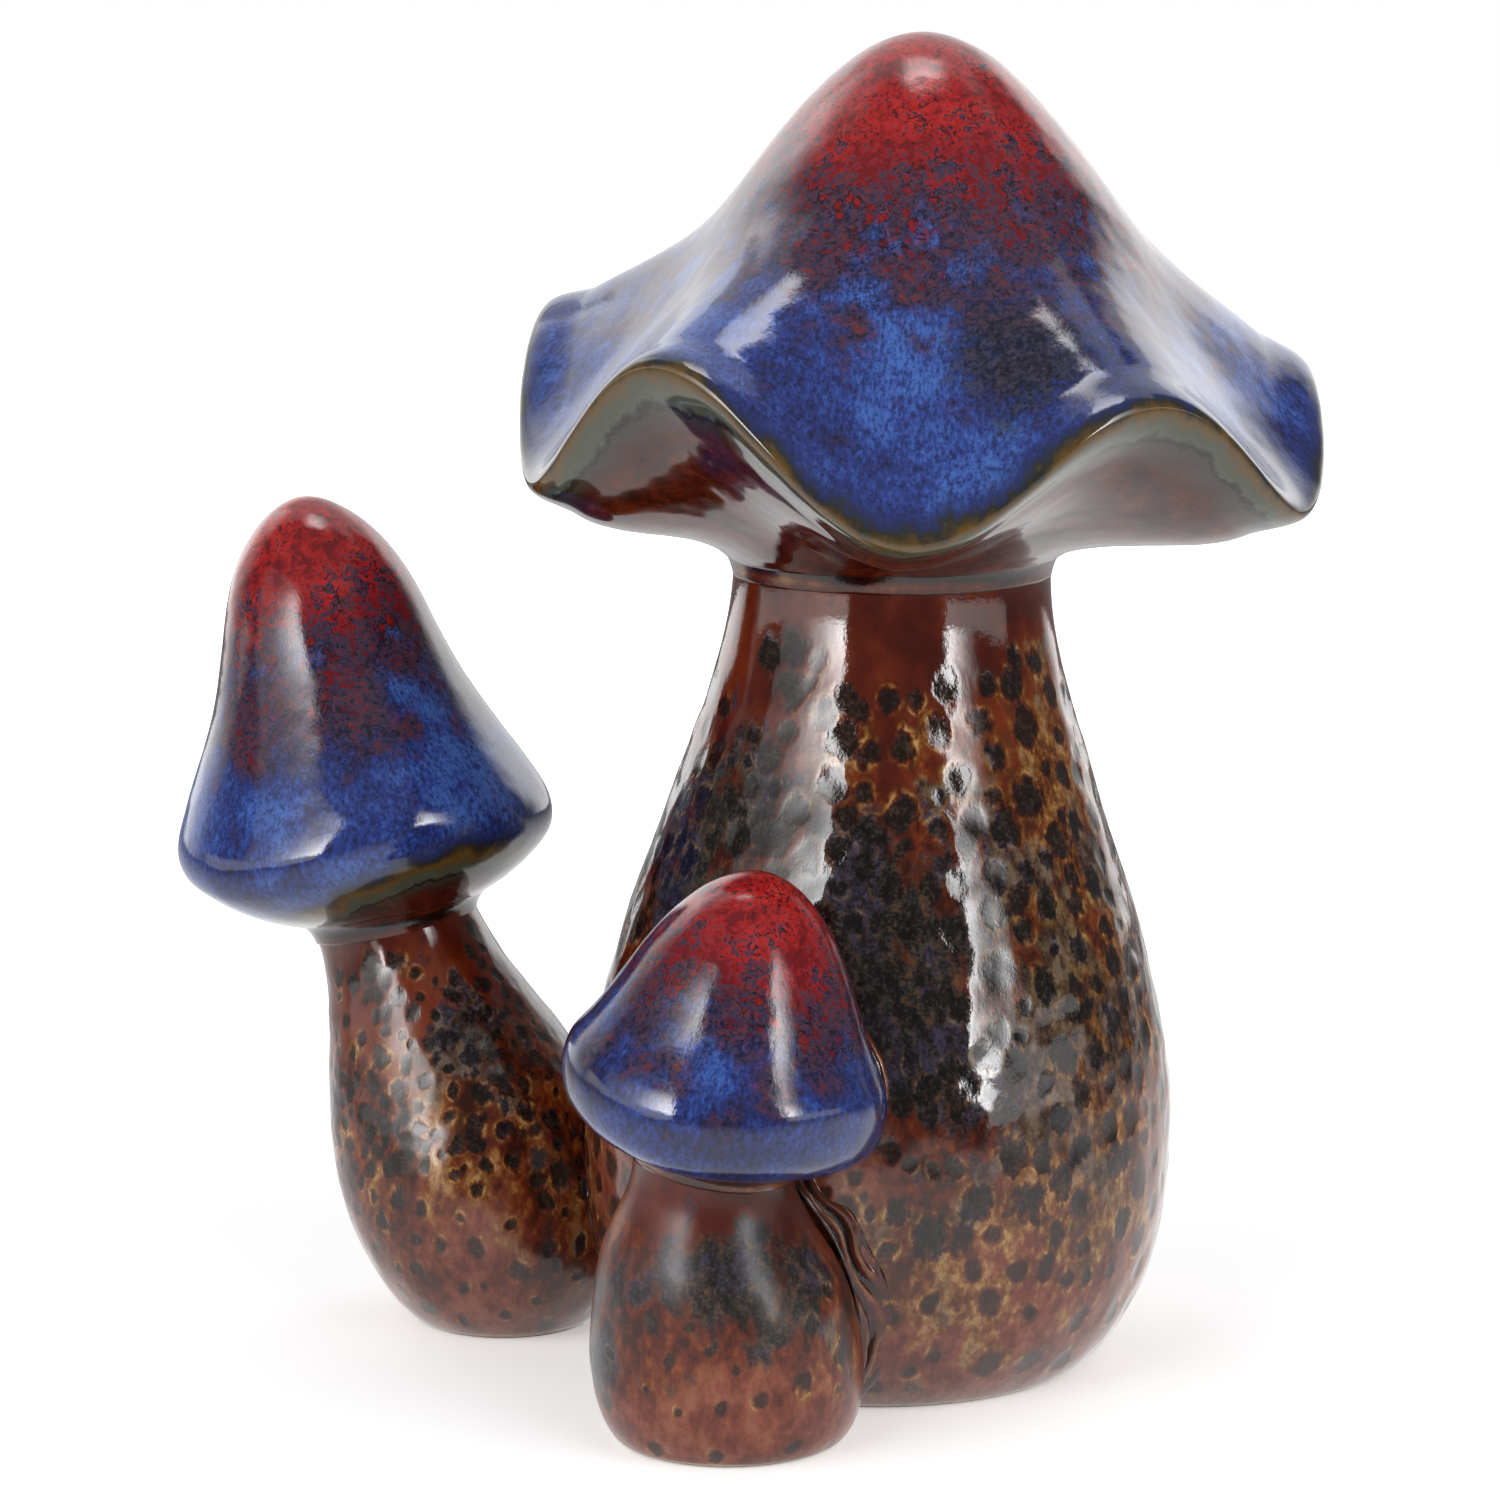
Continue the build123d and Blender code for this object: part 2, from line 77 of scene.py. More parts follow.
FRONT_CAP = dict(
    EVEN_RIM, height=43.0, rim=23.5, rim_height=11.2, crown=(0.586, 0.645), flank=(0.85, 0.27),
    lip=(1.3, 5.0), underside=(1.5, 0.2), shift=0.3, collar=12.6, lobes=3, depth=1.0, heading=6.0,
    glaze_end=1.14, lip_end=1.3,
)
BIG_NECK_SHIFT = 2.2
LEFT_HEADING = 162.0
LEFT_BITE = 7.2
LEFT_LEAN = 18.0
LEFT_CAP_TILT = 11.3
FRONT_HEADING = 244.0
FRONT_BITE = 13.4
FRONT_LEAN = 5.2
FRONT_CAP_TILT = 10.6
FRONT_CAP_HEADING = 335.0
BIG_VENT = (0.0, 15.9, 0.0)
VENT_RADIUS = 3.0
VENT_DEPTH = 12.0

# Steps of the meshes in millimetres, numbers of points, and the step between seeds of noise
STEM_STEP = 0.62
BIG_CAP_STEP = 0.75
SMALL_CAP_STEP = 0.6
ROUGH_STEP = 0.5
RIM_STEP_SHARE = 1.25
SPAN_POINTS = 60
SPINE_POINTS = 200
NECK_RING_POINTS = 160
SLOPE_REACH = 0.05
SEED_STEP = 17.3
TINY = 1e-9

# Surface detail in millimetres; lumps are (height, size) pairs
STEM_LUMPS = [(0.34, 13.0), (0.20, 5.2)]
CAP_LUMPS = [(0.20, 11.0), (0.05, 3.0)]
FOOT_ROUND = 0.8
CLAY_EDGE = 0.8
VENT_EASE = 0.4
CLEARANCE = 0.4
TIP_RADIUS = 0.05

# Shares of a stem's height or of the way down a cap, over which a surface changes, and what is left of it
FOOT_FADE = 0.05
NECK_FADE = 0.12
NECK_LUMPS = 0.15
DULL_FADE = 0.3
TIP_FADE = 0.1

# Radius at which streaks of glaze run down a cap, as a share of the rim's
FLOW_SHARE = 0.62

# Pits in the glaze of the stems: sizes in millimetres, heights and distances as shares
PIT_TRIES = 12000
PIT_SIZES = (2.2, 2.0)
PIT_STRETCH = 1.2
PIT_CROWD = 9.0
PIT_ROOM = 0.95
PIT_ROOM_SWING = 0.55
PIT_LOWEST = 0.03
PIT_TOP_SWING = 0.12
PIT_TOP_SIZE = 12.0
PIT_SHAKE = 0.85
PIT_SHAKE_SIZE = 3.0
PITS_NEAR = 4
PIT_FAR = 3.0
PIT_BOWL = 1.3
PIT_RIM = 2 / 9
PIT_RIM_PLACE = 1.06
PIT_RIM_WIDTH = 0.16
BIG_PITS = dict(
    top=0.88, radius=(1.2, 3.2), seed=11, depth=0.07, thin=0.5, thin_below=0.32, dull=0.10, dull_top=0.2
)
LEFT_PITS = dict(
    top=0.93, radius=(0.8, 2.1), seed=12, depth=0.06, thin=1.2, thin_below=0.45, dull=0.14, dull_top=0.9
)
FRONT_PITS = dict(
    top=0.62, radius=(0.9, 2.4), seed=13, depth=0.03, thin=1.8, thin_below=0.8, dull=0.26, dull_top=1.2
)

# Patches of dark glaze and of ochre glaze as (place from the foot, size, strength), in millimetres
BIG_CLOUDS = [
    ((-6, -44, 66), (30, 26, 28), 1.0), ((-32, -26, 90), (16, 18, 18), 0.9),
    ((32, -30, 66), (16, 22, 24), 0.55), ((36, -22, 90), (8, 12, 12), 0.4),
    ((30, 30, 56), (24, 24, 24), 0.9), ((-10, 42, 70), (22, 22, 24), 0.9),
    ((-40, 14, 80), (20, 20, 16), 0.8),
]
BIG_GOLDS = [
    ((32, -30, 60), (17, 24, 28), 1.0), ((25, -22, 96), (10, 16, 16), 0.7),
    ((-31, -24, 98), (10, 16, 18), 0.7), ((0, -40, 98), (14, 16, 11), 0.9),
    ((16, -40, 22), (34, 30, 16), 0.65), ((0, 40, 40), (34, 24, 30), 0.6),
    ((42, 10, 40), (16, 24, 26), 0.6), ((-42, 10, 40), (16, 24, 26), 0.5),
]
LEFT_CLOUDS = [((4, -16, 48), (14, 14, 12), 0.7), ((-10, 18, 30), (14, 14, 16), 0.7)]
LEFT_GOLDS = [((-4, -20, 32), (22, 20, 20), 0.55), ((0, 20, 26), (22, 20, 20), 0.5)]
FRONT_CLOUDS = [((3, -18, 27), (16, 16, 12), 1.0), ((-19, 0, 18), (10, 12, 10), 0.7)]
FRONT_GOLDS = [((14, -10, 18), (9, 12, 12), 0.5), ((0, -16, 8), (20, 14, 8), 0.2)]

# Charcoal patches on the caps in the same form, from the big foot; paler where the strength is negative
BIG_CAP_CLOUDS = [
    ((18, -42, 156), (12, 16, 11), 1.0), ((-7, -48, 150), (13, 16, 13), -1.0),
    ((-24, 42, 146), (16, 16, 16), 0.8), ((56, 20, 140), (14, 14, 14), 0.6),
]
LEFT_CAP_CLOUDS = [((-92, -12, 82), (24, 30, 11), -1.0), ((-52, -14, 90), (12, 20, 9), 0.5)]

# Slip in millimetres: ridges along it, and where the seams lie
SLIP_SINK = 0.25
SLIP_BACK = 0.6
RING_OUT = 0.3
RING_LIFT = 0.8
WAVER_SIZES = (6.0, 7.0)
FOLD_START = 0.2
FOLD_DRIFT = 0.45
FOLD_DRIFT_SIZE = 9.0
FOLD_HEIGHT = 0.65
FOLD_SWING = 0.6
FOLD_SWING_SIZE = 8.0
FOLD_GRAIN = 0.25
FOLD_GRAIN_SIZE = 1.8
SEAM_RAYS = 240
SEAM_REACH = 40.0
SEAM_STEPS = 1600
SEAM_SMOOTHINGS = 2
BEDDED = dict(count=1.0, height=0.03, fill=0.2, waver=0.08, points=13)
SMEARED = dict(count=2.4, height=0.75, fill=0.5, waver=0.35, points=19)
PRESSED = dict(count=1.6, height=0.35, fill=0.5, waver=0.25, points=13)
LEFT_SEAM = dict(middle=16.0, widths=(2.0, 2.4), ridges=PRESSED, closed=False, seed=34)
FRONT_SEAM = dict(middle=14.0, widths=(3.0, 4.2), ridges=SMEARED, closed=False, seed=35)
CAP_SEAM = dict(middle=FRONT_STEM["height"] + 14.0, widths=(1.8, 2.0), ridges=PRESSED, closed=True, seed=36)

GLAZE_IOR = 1.55

# Studio in metres; headings of its panels and lamps are in degrees from the camera's side
CAMERA_SIDE = 270.0
CAMERA_PLACE = (-0.0190, -0.8322, 0.2397)
CAMERA_TILT = 80.0
CAMERA_SENSOR = 36.0
CAMERA_LENS = 135.2
CAMERA_NEAR = 0.01
FLOOR_HALF = 2.5
FLOOR_GREY = (0.86, 0.86, 0.86, 1)
FLOOR_ROUGHNESS = 0.9
FLOOR_GLOW = 0.42
FLOOR_NEAR = 0.14
FLOOR_FAR = 0.45
WORLD_LEVEL = 0.22
BLACK = (0, 0, 0, 1)
WHITE = (1, 1, 1, 1)
BOX_DISTANCE = 1.3
BOX_COLUMNS = 24
BOX_HEIGHTS = (0.22, 1.15)
BOX_TOP_SHARE = 0.1
TABLE_HEIGHTS = (0.02, 0.22)
WALL_HEIGHTS = (0.0, 0.9)
HIGH_HEIGHTS = (0.9, 1.9)
HIGH_TOP_SHARE = 0.35
LAMP_TARGET = Vector((0.0, 0.0, 0.09))
LAMP_SIZE = 1.0
LAMP_LIFT = 35.0
KEY_LEVEL = 2.6
BACK_LEVEL = 1.2
CURTAIN_STEPS = 32
CURTAIN_RADIUS = 2.3
CURTAIN_TURN = 138.0
CURTAIN_HEIGHT = 3.2
CURTAIN_GLOW = 0.14
CANOPY_GLOW = 0.25
CANOPY_STEPS = 16
CANOPY_HEIGHT = 2.2
CANOPY_SIDE = 2.6
CANOPY_END = 98.0
CANOPY_SWEEP = 8.0
TABLE_COLUMNS = 48
TABLE_RADII = (0.0, 0.15, 0.25, 0.4, 0.7, 1.1, 2.4)
TABLE_LEVELS = (1.25, 1.25, 1.05, 0.7, 0.35, 0.18, 0.18)
TABLE_LIFT = 0.0004
TOP_SIDE = 0.24
TOP_REACH = (0.0, 0.44)
TOP_LEVELS = (8.5, 3.0)
TOP_HEIGHT = 1.5


# Plain vector helpers

def unit(vector):
    """Vectors scaled to length one along the last axis."""
    return vector / np.linalg.norm(vector, axis=-1, keepdims=True)


def towards(heading):
    """Level unit vector at a heading."""
    turn = math.radians(heading)
    return np.array([math.cos(turn), math.sin(turn), 0.0])


def place(origin, x_dir, z_dir):
    """Origin and three square axes."""
    z_axis = unit(np.asarray(z_dir, float))
    x_axis = unit(x_dir - z_axis * np.dot(x_dir, z_axis))
    return np.asarray(origin, float), x_axis, np.cross(z_axis, x_axis), z_axis


def running_length(line):
    """Length from the start of a line to each of its points."""
    return np.concatenate([[0], np.cumsum(np.linalg.norm(np.diff(line, axis=0), axis=1))])


def read_off(wanted, places, rows):
    """Rows of values read off at the wanted places."""
    return np.stack([np.interp(wanted, places, column) for column in rows.T], axis=-1)


def smooth_line(points, start, end, step):
    """Evenly spaced points on a smooth line through a few points, with its end directions given."""
    points = np.asarray(points, float)
    spans = np.linalg.norm(np.diff(points, axis=0), axis=1)
    count = len(points)
    matrix = np.eye(count)
    slopes = np.zeros_like(points)
    slopes[0] = unit(np.asarray(start, float))
    slopes[-1] = unit(np.asarray(end, float))
    chords = np.diff(points, axis=0) / spans[:, None]
    for index in range(1, count - 1):
        before, after = spans[index - 1], spans[index]
        matrix[index, index - 1:index + 2] = (after, 2 * (before + after), before)
        slopes[index] = 3 * (after * chords[index - 1] + before * chords[index])
    slopes = np.linalg.solve(matrix, slopes)
    fine = []
    for index in range(count - 1):
        share = np.linspace(0, 1, SPAN_POINTS, endpoint=index == count - 2)[:, None]
        span = spans[index]
        fine.append(
            (2 * share**3 - 3 * share**2 + 1) * points[index]
            + (share**3 - 2 * share**2 + share) * span * slopes[index]
            + (3 * share**2 - 2 * share**3) * points[index + 1]
            + (share**3 - share**2) * span * slopes[index + 1]
        )
    fine = np.concatenate(fine)
    length = running_length(fine)
    stations = np.linspace(0, length[-1], max(2, round(length[-1] / step)) + 1)
    return read_off(stations, length, fine)


def wander(points, size, seed):
    """Smooth noise from about -1 to 1 at each point, with lumps of about the given size."""
    flat = points.reshape(-1, 3) / size + seed * SEED_STEP
    values = [noise.noise(Vector(point)) for point in flat]
    return np.array(values).reshape(points.shape[:-1])


def lumps(points, kinds, seed):
    """Heights of an uneven surface with lumps of a few (height, size) kinds."""
    return sum(height * wander(points, size, seed + step) for step, (height, size) in enumerate(kinds))


def fade(values, middle, width):
    """1 below a middle value and 0 above it, with an even change over the given width."""
    return np.clip(0.5 + (middle - values) / width, 0, 1)


def columns_round(radius, step):
    """Number of points round a ring, a multiple of four."""
    return 4 * round(2 * math.pi * radius / step / 4)


# Places of the three mushrooms

def leaning(tilt, heading):
    """Upright unit vector tipped over at a heading."""
    angle = math.radians(tilt)
    return towards(heading) * math.sin(angle) + np.array([0, 0, math.cos(angle)])


def small_place(heading, bite, lean, stem, axis):
    """Foot and neck of a small mushroom that stands against the big stem."""
    foot = towards(heading) * (BIG_STEM["belly"] + stem["belly"] - bite)
    neck = foot + towards(heading) * lean + np.array([0, 0, stem["height"]])
    return foot, place(neck, towards(heading), axis)


big_foot = np.zeros(3)
big_neck = place((BIG_NECK_SHIFT, 0, BIG_STEM["height"]), np.array([1.0, 0, 0]), (0, 0, 1))
left_foot, left_neck = small_place(
    LEFT_HEADING, LEFT_BITE, LEFT_LEAN, LEFT_STEM, leaning(LEFT_CAP_TILT, LEFT_HEADING)
)
front_foot, front_neck = small_place(
    FRONT_HEADING, FRONT_BITE, FRONT_LEAN, FRONT_STEM, leaning(FRONT_CAP_TILT, FRONT_CAP_HEADING)
)


# Stems

def stem_outline(stem, step):
    """Heights and radii of a stem from its foot to its neck."""
    neck, height = stem["neck"], stem["height"]
    bulge = stem["belly"] - neck
    points = [(0, stem["foot"]), (stem["belly_share"] * height, stem["belly"])]
    for share, part in (stem["shoulder"], stem["throat"]):
        points.append((share * height, neck + part * bulge))
    points.append((height, neck))
    line = smooth_line(points, (1, stem["flare"]), (1, 0), step)
    rounding = np.clip(1 - line[:, 0], 0, 1) ** 2
    line[:, 1] -= FOOT_ROUND * rounding
    return line


def stem_spine(foot, neck, shares):
    """Points on the bending middle line of a stem, at shares of its length."""
    bend = np.array([foot[0], foot[1], BEND_SHARE * neck[2]])
    fine = np.linspace(0, 1, SPINE_POINTS)[:, None]
    line = (1 - fine) ** 2 * foot + 2 * fine * (1 - fine) * bend + fine**2 * neck
    length = running_length(line)
    return read_off(shares * length[-1], length, line)


def stem_grid(stem, foot, neck):
    """Rings of points up the outside of a stem, with what its neighbours need to know of it."""
    outline = stem_outline(stem, STEM_STEP)
    origin, x_axis, _, z_axis = neck
    shares = np.clip(outline[:, 0] / origin[2], 0, 1)
    centres = stem_spine(foot, origin, shares)
    normals = unit(np.array([0, 0, 1.0]) * (1 - shares[:, None]) + z_axis * shares[:, None])
    across = unit(x_axis - normals * (normals @ x_axis)[:, None])
    beside = np.cross(normals, across)
    radii = outline[:, 1]
    turns = np.linspace(0, 2 * math.pi, columns_round(stem["belly"], STEM_STEP), endpoint=False)
    rings = (
        centres[:, None]
        + radii[:, None, None] * np.cos(turns)[None, :, None] * across[:, None]
        + radii[:, None, None] * np.sin(turns)[None, :, None] * beside[:, None]
    )
    return dict(rings=rings, centres=centres, radii=radii, shares=shares, foot=foot, up=z_axis)


def stem_gap(grid):
    """Function that gives how far points are outside a stem."""
    centres, radii = grid["centres"], grid["radii"]

    def gap(points):
        middle = read_off(points[..., 2], centres[:, 2], centres[:, :2])
        radius = np.interp(points[..., 2], centres[:, 2], radii)
        return np.linalg.norm(points[..., :2] - middle, axis=-1) - radius

    return gap


def outwards(gap, points):
    """Unit direction in which a gap grows fastest."""
    slopes = []
    for axis in np.eye(3) * SLOPE_REACH:
        slopes.append(gap(points + axis) - gap(points - axis))
    return unit(np.stack(slopes, axis=-1) + TINY)


def grid_normals(rings):
    """Outward unit normals of closed rings of points."""
    around = np.roll(rings, -1, axis=1) - np.roll(rings, 1, axis=1)
    along = np.gradient(rings, axis=0)
    return unit(np.cross(around, along) + TINY)


def keep_clear(points, gap):
    """Points moved out of a neighbour wherever they would stand in it or almost touch it."""
    inside = np.clip(CLEARANCE - gap(points), 0, None)
    return points + outwards(gap, points) * inside[..., None]


def scatter_pits(rings, shares, pits):
    """Centres and radii of the glaze pits on a stem: crowded in some places, few in others."""
    seed = pits["seed"]
    smallest, largest = pits["radius"]
    chance = random.Random(seed)
    rows, columns = rings.shape[:2]
    widths = np.linalg.norm(rings - rings.mean(axis=1, keepdims=True), axis=-1).mean(axis=1)
    weights = (widths / widths.sum()).tolist()
    places = np.zeros((0, 3))
    radii = np.zeros(0)
    for row in chance.choices(range(rows), weights, k=PIT_TRIES):
        point = rings[row, chance.randrange(columns)]
        radius = smallest + (largest - smallest) * chance.betavariate(*PIT_SIZES)
        crowd = noise.noise(Vector(point / PIT_CROWD + seed))
        sparse = pits["thin"] * max(0, 1 - shares[row] / pits["thin_below"])
        room_share = PIT_ROOM - PIT_ROOM_SWING * crowd + sparse
        ragged = pits["top"] + PIT_TOP_SWING * noise.noise(Vector(point / PIT_TOP_SIZE + seed))
        if not PIT_LOWEST < shares[row] < ragged:
            continue
        point = point / np.array([1, 1, PIT_STRETCH])
        if len(radii):
            room = np.linalg.norm(places - point, axis=1) - room_share * (radii + radius)
            if room.min() < 0:
                continue
        places = np.vstack([places, point])
        radii = np.append(radii, radius)
    return places, radii


def pit_shares(rings, places, radii, seed):
    """Distance of each point from its nearest pit's centre, as a share of that pit's radius."""
    tree = kdtree.KDTree(len(places))
    for index, point in enumerate(places):
        tree.insert(Vector(point), index)
    tree.balance()
    flat = rings.reshape(-1, 3) / np.array([1, 1, PIT_STRETCH])
    noise.seed_set(seed)
    shake = [noise.noise_vector(Vector(point / PIT_SHAKE_SIZE + seed)) for point in flat]
    flat = flat + PIT_SHAKE * np.array(shake)
    shares = []
    for point in flat:
        near = tree.find_n(Vector(point), PITS_NEAR)
        shares.append(min(gap / radii[index] for _, index, gap in near))
    return np.clip(np.array(shares), 0, PIT_FAR).reshape(rings.shape[:2])


def pit_relief(shares, depth):
    """Height of the surface in and round a pit."""
    bowl = np.clip(1 - shares**2, 0, 1) ** PIT_BOWL
    rim = np.exp(-((shares - PIT_RIM_PLACE) / PIT_RIM_WIDTH) ** 2)
    return depth * (PIT_RIM * rim - bowl)


# Meshes

def new_object(name, data):
    """Object in the scene that shows a mesh, a lamp or a camera."""
    thing = bpy.data.objects.new(name, data)
    bpy.context.collection.objects.link(thing)
    return thing


def new_body(name, vertices, faces, attributes):
    """Object with a mesh in metres and with values at its points."""
    mesh = bpy.data.meshes.new(name)
    mesh.from_pydata(vertices, [], faces)
    for key, values in attributes.items():
        layer = mesh.attributes.new(key, "FLOAT", "POINT")
        layer.data.foreach_set("value", np.asarray(values, dtype=np.float32))
    return new_object(name, mesh)


def finish_mesh(node, vertices, faces, attributes, slot):
    """Glazed piece from points in millimetres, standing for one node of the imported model."""
    piece = new_body(f"{node}_glazed", (vertices * MM).tolist(), faces, attributes)
    shell = bmesh.new()
    shell.from_mesh(piece.data)
    bmesh.ops.recalc_face_normals(shell, faces=shell.faces)
    shell.to_mesh(piece.data)
    shell.free()
    piece.data.shade_smooth()
    piece.data.materials.append(glazes[slot])
    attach(piece, "root")
    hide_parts(node)


def ring_faces(rows, columns, looped=False):
    """Four-sided faces between neighbouring closed rings of points, and back to the first if looped."""
    faces = []
    for row in range(rows if looped else rows - 1):
        here, there = row * columns, (row + 1) % rows * columns
        for column in range(columns):
            beside = (column + 1) % columns
            faces.append((here + column, here + beside, there + beside, there + column))
    return faces


def closed_body(rings):
    """Points and faces of closed rings with a fan of triangles at each end."""
    rows, columns = rings.shape[:2]
    vertices = np.vstack([rings.reshape(-1, 3), rings[0].mean(axis=0), rings[-1].mean(axis=0)])
    faces = ring_faces(rows, columns)
    top = (rows - 1) * columns
    first, final = rows * columns, rows * columns + 1
    for column in range(columns):
        beside = (column + 1) % columns
        faces.append((first, beside, column))
        faces.append((final, top + column, top + beside))
    return vertices, faces


def spread(rows, columns):
    """Row values repeated round each ring, with one more for each end point."""
    flat = np.repeat(np.asarray(rows), columns)
    return np.concatenate([flat, [rows[0], rows[-1]]])


def with_ends(grid):
    """Grid values with one more for each end point."""
    return np.concatenate([grid.reshape(-1), [grid[0].mean(), grid[-1].mean()]])


def vent_rings(first_ring, centre):
    """Rings of the vent in a foot, from its blind end down to the foot's face."""
    outward = unit((first_ring - centre) * np.array([1, 1, 0]) + TINY)
    mouth = centre + outward * VENT_RADIUS
    eased = centre + outward * (VENT_RADIUS + VENT_EASE)
    up = np.array([0, 0, 1.0])
    return np.stack([mouth + up * VENT_DEPTH, mouth + up * VENT_EASE, eased])


def patches(points, spots):
    """Strength at each point of soft patches given as (centre, size, strength)."""
    total = np.zeros(points.shape[:2])
    for centre, size, strength in spots:
        distance = np.linalg.norm((points - np.asarray(centre)) / np.asarray(size), axis=-1)
        total = total + strength * np.exp(-distance**2)
    return np.clip(total, -1, 1)


def make_stem(node, grid, vent, pits, clouds, golds, neighbour=None):
    """Pitted stem with its clay foot and vent, and patches of dark glaze and of ochre glaze."""
    rings, shares = grid["rings"], grid["shares"]
    places, radii = scatter_pits(rings, shares, pits)
    pit = pit_shares(rings, places, radii, pits["seed"])
    relief = pit_relief(pit, pits["depth"]) * np.clip(shares / PIT_LOWEST, 0, 1)[:, None]
    uneven = np.maximum(fade(shares, pits["top"], NECK_FADE), NECK_LUMPS) * np.clip(shares / FOOT_FADE, 0, 1)
    relief = relief + lumps(rings, STEM_LUMPS, pits["seed"]) * uneven[:, None]
    shaped = rings + grid_normals(rings) * relief[..., None]
    if neighbour:
        shaped = keep_clear(shaped, neighbour)
    shaped[..., 2] = np.maximum(shaped[..., 2], 0)
    foot = vent_rings(shaped[0], np.asarray(vent))
    neck = shaped[-1] + grid["up"] * SLIP
    whole = np.concatenate([foot, shaped, neck[None]])
    vertices, faces = closed_body(whole)
    columns = rings.shape[1]
    extra = len(foot)
    rows = np.concatenate([np.zeros(extra), shares, shares[-1:]])
    clay = np.concatenate([np.ones(extra), fade(rings[:, 0, 2], CLAY_EDGE, CLAY_EDGE), [0]])
    pit_rows = np.concatenate([np.full((extra, columns), PIT_FAR), pit, pit[-1:]])
    dull = pits["dull"] * fade(rows, pits["dull_top"], DULL_FADE)
    from_foot = whole - grid["foot"]
    attributes = {
        "height": spread(rows, columns), "clay": spread(clay, columns), "pit": with_ends(pit_rows),
        "cloud": with_ends(patches(from_foot, clouds)), "gold": with_ends(patches(from_foot, golds)),
        "dull": spread(dull, columns),
    }
    finish_mesh(node, vertices, faces, attributes, "stem_glaze")


# Caps

def cap_outline(cap, step):
    """Radii and heights over a cap, round its rim and back under, and the index of its widest place."""
    rim, level = cap["rim"], cap["rim_height"]
    rise = cap["height"] - level
    crown, flank = ((across * rim, level + up * rise) for across, up in (cap["crown"], cap["flank"]))
    edge = rim - cap["lip"][0]
    upper = (edge, level + cap["lip"][1])
    lower = (edge, level - cap["lip"][1])
    over = (upper[0] - flank[0], upper[1] - flank[1])
    under = (-1, -cap["underside"][0])
    top = smooth_line([(0, cap["height"]), crown, flank, upper], (1, 0), over, step)
    turn = smooth_line([upper, (rim, level), lower], over, under, step / 2)
    below = smooth_line([lower, (cap["collar"], SLIP)], under, (-1, -cap["underside"][1]), step)
    line = np.concatenate([top, turn[1:], below[1:]])
    return line, len(top) + len(turn) // 2


def cap_wave(cap, turns):
    """Rise and fall of the rim round a cap."""
    depth = cap["depth"] - cap["fade"] * np.cos(turns - math.radians(cap["fade_heading"]))
    lobes = -depth * np.cos(cap["lobes"] * (turns - math.radians(cap["heading"])))
    return lobes - cap["sag"] * np.cos(turns - math.radians(cap["sag_heading"]))


def cap_grid(cap, neck, step):
    """Rings of points over a cap, with the share of the way from its top to its rim and beyond."""
    line, widest = cap_outline(cap, step)
    line[0, 0] = TIP_RADIUS
    radius, height = line[:, 0], line[:, 1]
    rim, collar = cap["rim"], cap["collar"]
    turns = np.linspace(0, 2 * math.pi, columns_round(rim, step * RIM_STEP_SHARE), endpoint=False)
    calm = max(CALM_SHARE * rim, collar + BEAD)
    swing = np.clip((radius - calm) / (rim - calm), 0, None) ** LOBE_POWER
    off_centre = np.full(len(line), cap["shift"])
    inward = np.clip((radius - collar) / (rim - collar), 0, 1)
    off_centre[widest:] = cap["shift"] * inward[widest:]
    origin, x_axis, y_axis, z_axis = neck
    local_x = off_centre[:, None] + radius[:, None] * np.cos(turns)
    local_y = radius[:, None] * np.sin(turns)
    local_z = height[:, None] + swing[:, None] * cap_wave(cap, turns)
    rings = (
        origin + local_x[..., None] * x_axis + local_y[..., None] * y_axis + local_z[..., None] * z_axis
    )
    length = running_length(line)
    return dict(rings=rings, along=length / length[widest], arc=length, turns=turns)


def cap_gap(cap, neck):
    """Function that gives roughly how far points are outside a small cap."""
    line, widest = cap_outline(cap, ROUGH_STEP)
    origin, x_axis, y_axis, z_axis = neck

    def gap(points):
        local = points - origin
        radius = np.hypot(local @ x_axis - cap["shift"], local @ y_axis)
        height = local @ z_axis
        top = np.interp(radius, line[:widest, 0], line[:widest, 1])
        under = np.interp(radius, line[widest:, 0][::-1], line[widest:, 1][::-1])
        return np.maximum(np.maximum(height - top, under - height), radius - cap["rim"])

    return gap


def make_cap(node, cap, grid, clouds, seed, neighbour=None):
    """Glazed cap; clouds are charcoal patches, and paler ones where their strength is negative."""
    rings, along, turns = grid["rings"], grid["along"], grid["turns"]
    uneven = np.clip(along / TIP_FADE, 0, 1)[:, None] * lumps(rings, CAP_LUMPS, seed)
    shaped = rings - grid_normals(rings) * uneven[..., None]
    if neighbour:
        shaped = keep_clear(shaped, neighbour)
    vertices, faces = closed_body(shaped)
    columns = rings.shape[1]
    facing = 0.5 + 0.5 * np.cos(turns - math.radians(cap["bare_heading"]))
    edge = along[:, None] / (cap["lip_end"] - cap["bare"] * facing**2)
    middle = FLOW_SHARE * cap["rim"]
    across = np.tile(middle * np.cos(turns), (len(rings), 1))
    beside = np.tile(middle * np.sin(turns), (len(rings), 1))
    attributes = {
        "along": spread(along / cap["glaze_end"], columns), "edge": with_ends(edge),
        "arc": spread(grid["arc"], columns),
        "flow_x": with_ends(across), "flow_y": with_ends(beside),
        "cloud": with_ends(patches(rings, clouds)),
    }
    finish_mesh(node, vertices, faces, attributes, "cap_glaze")


# Slip: smeared seams and bedding rings

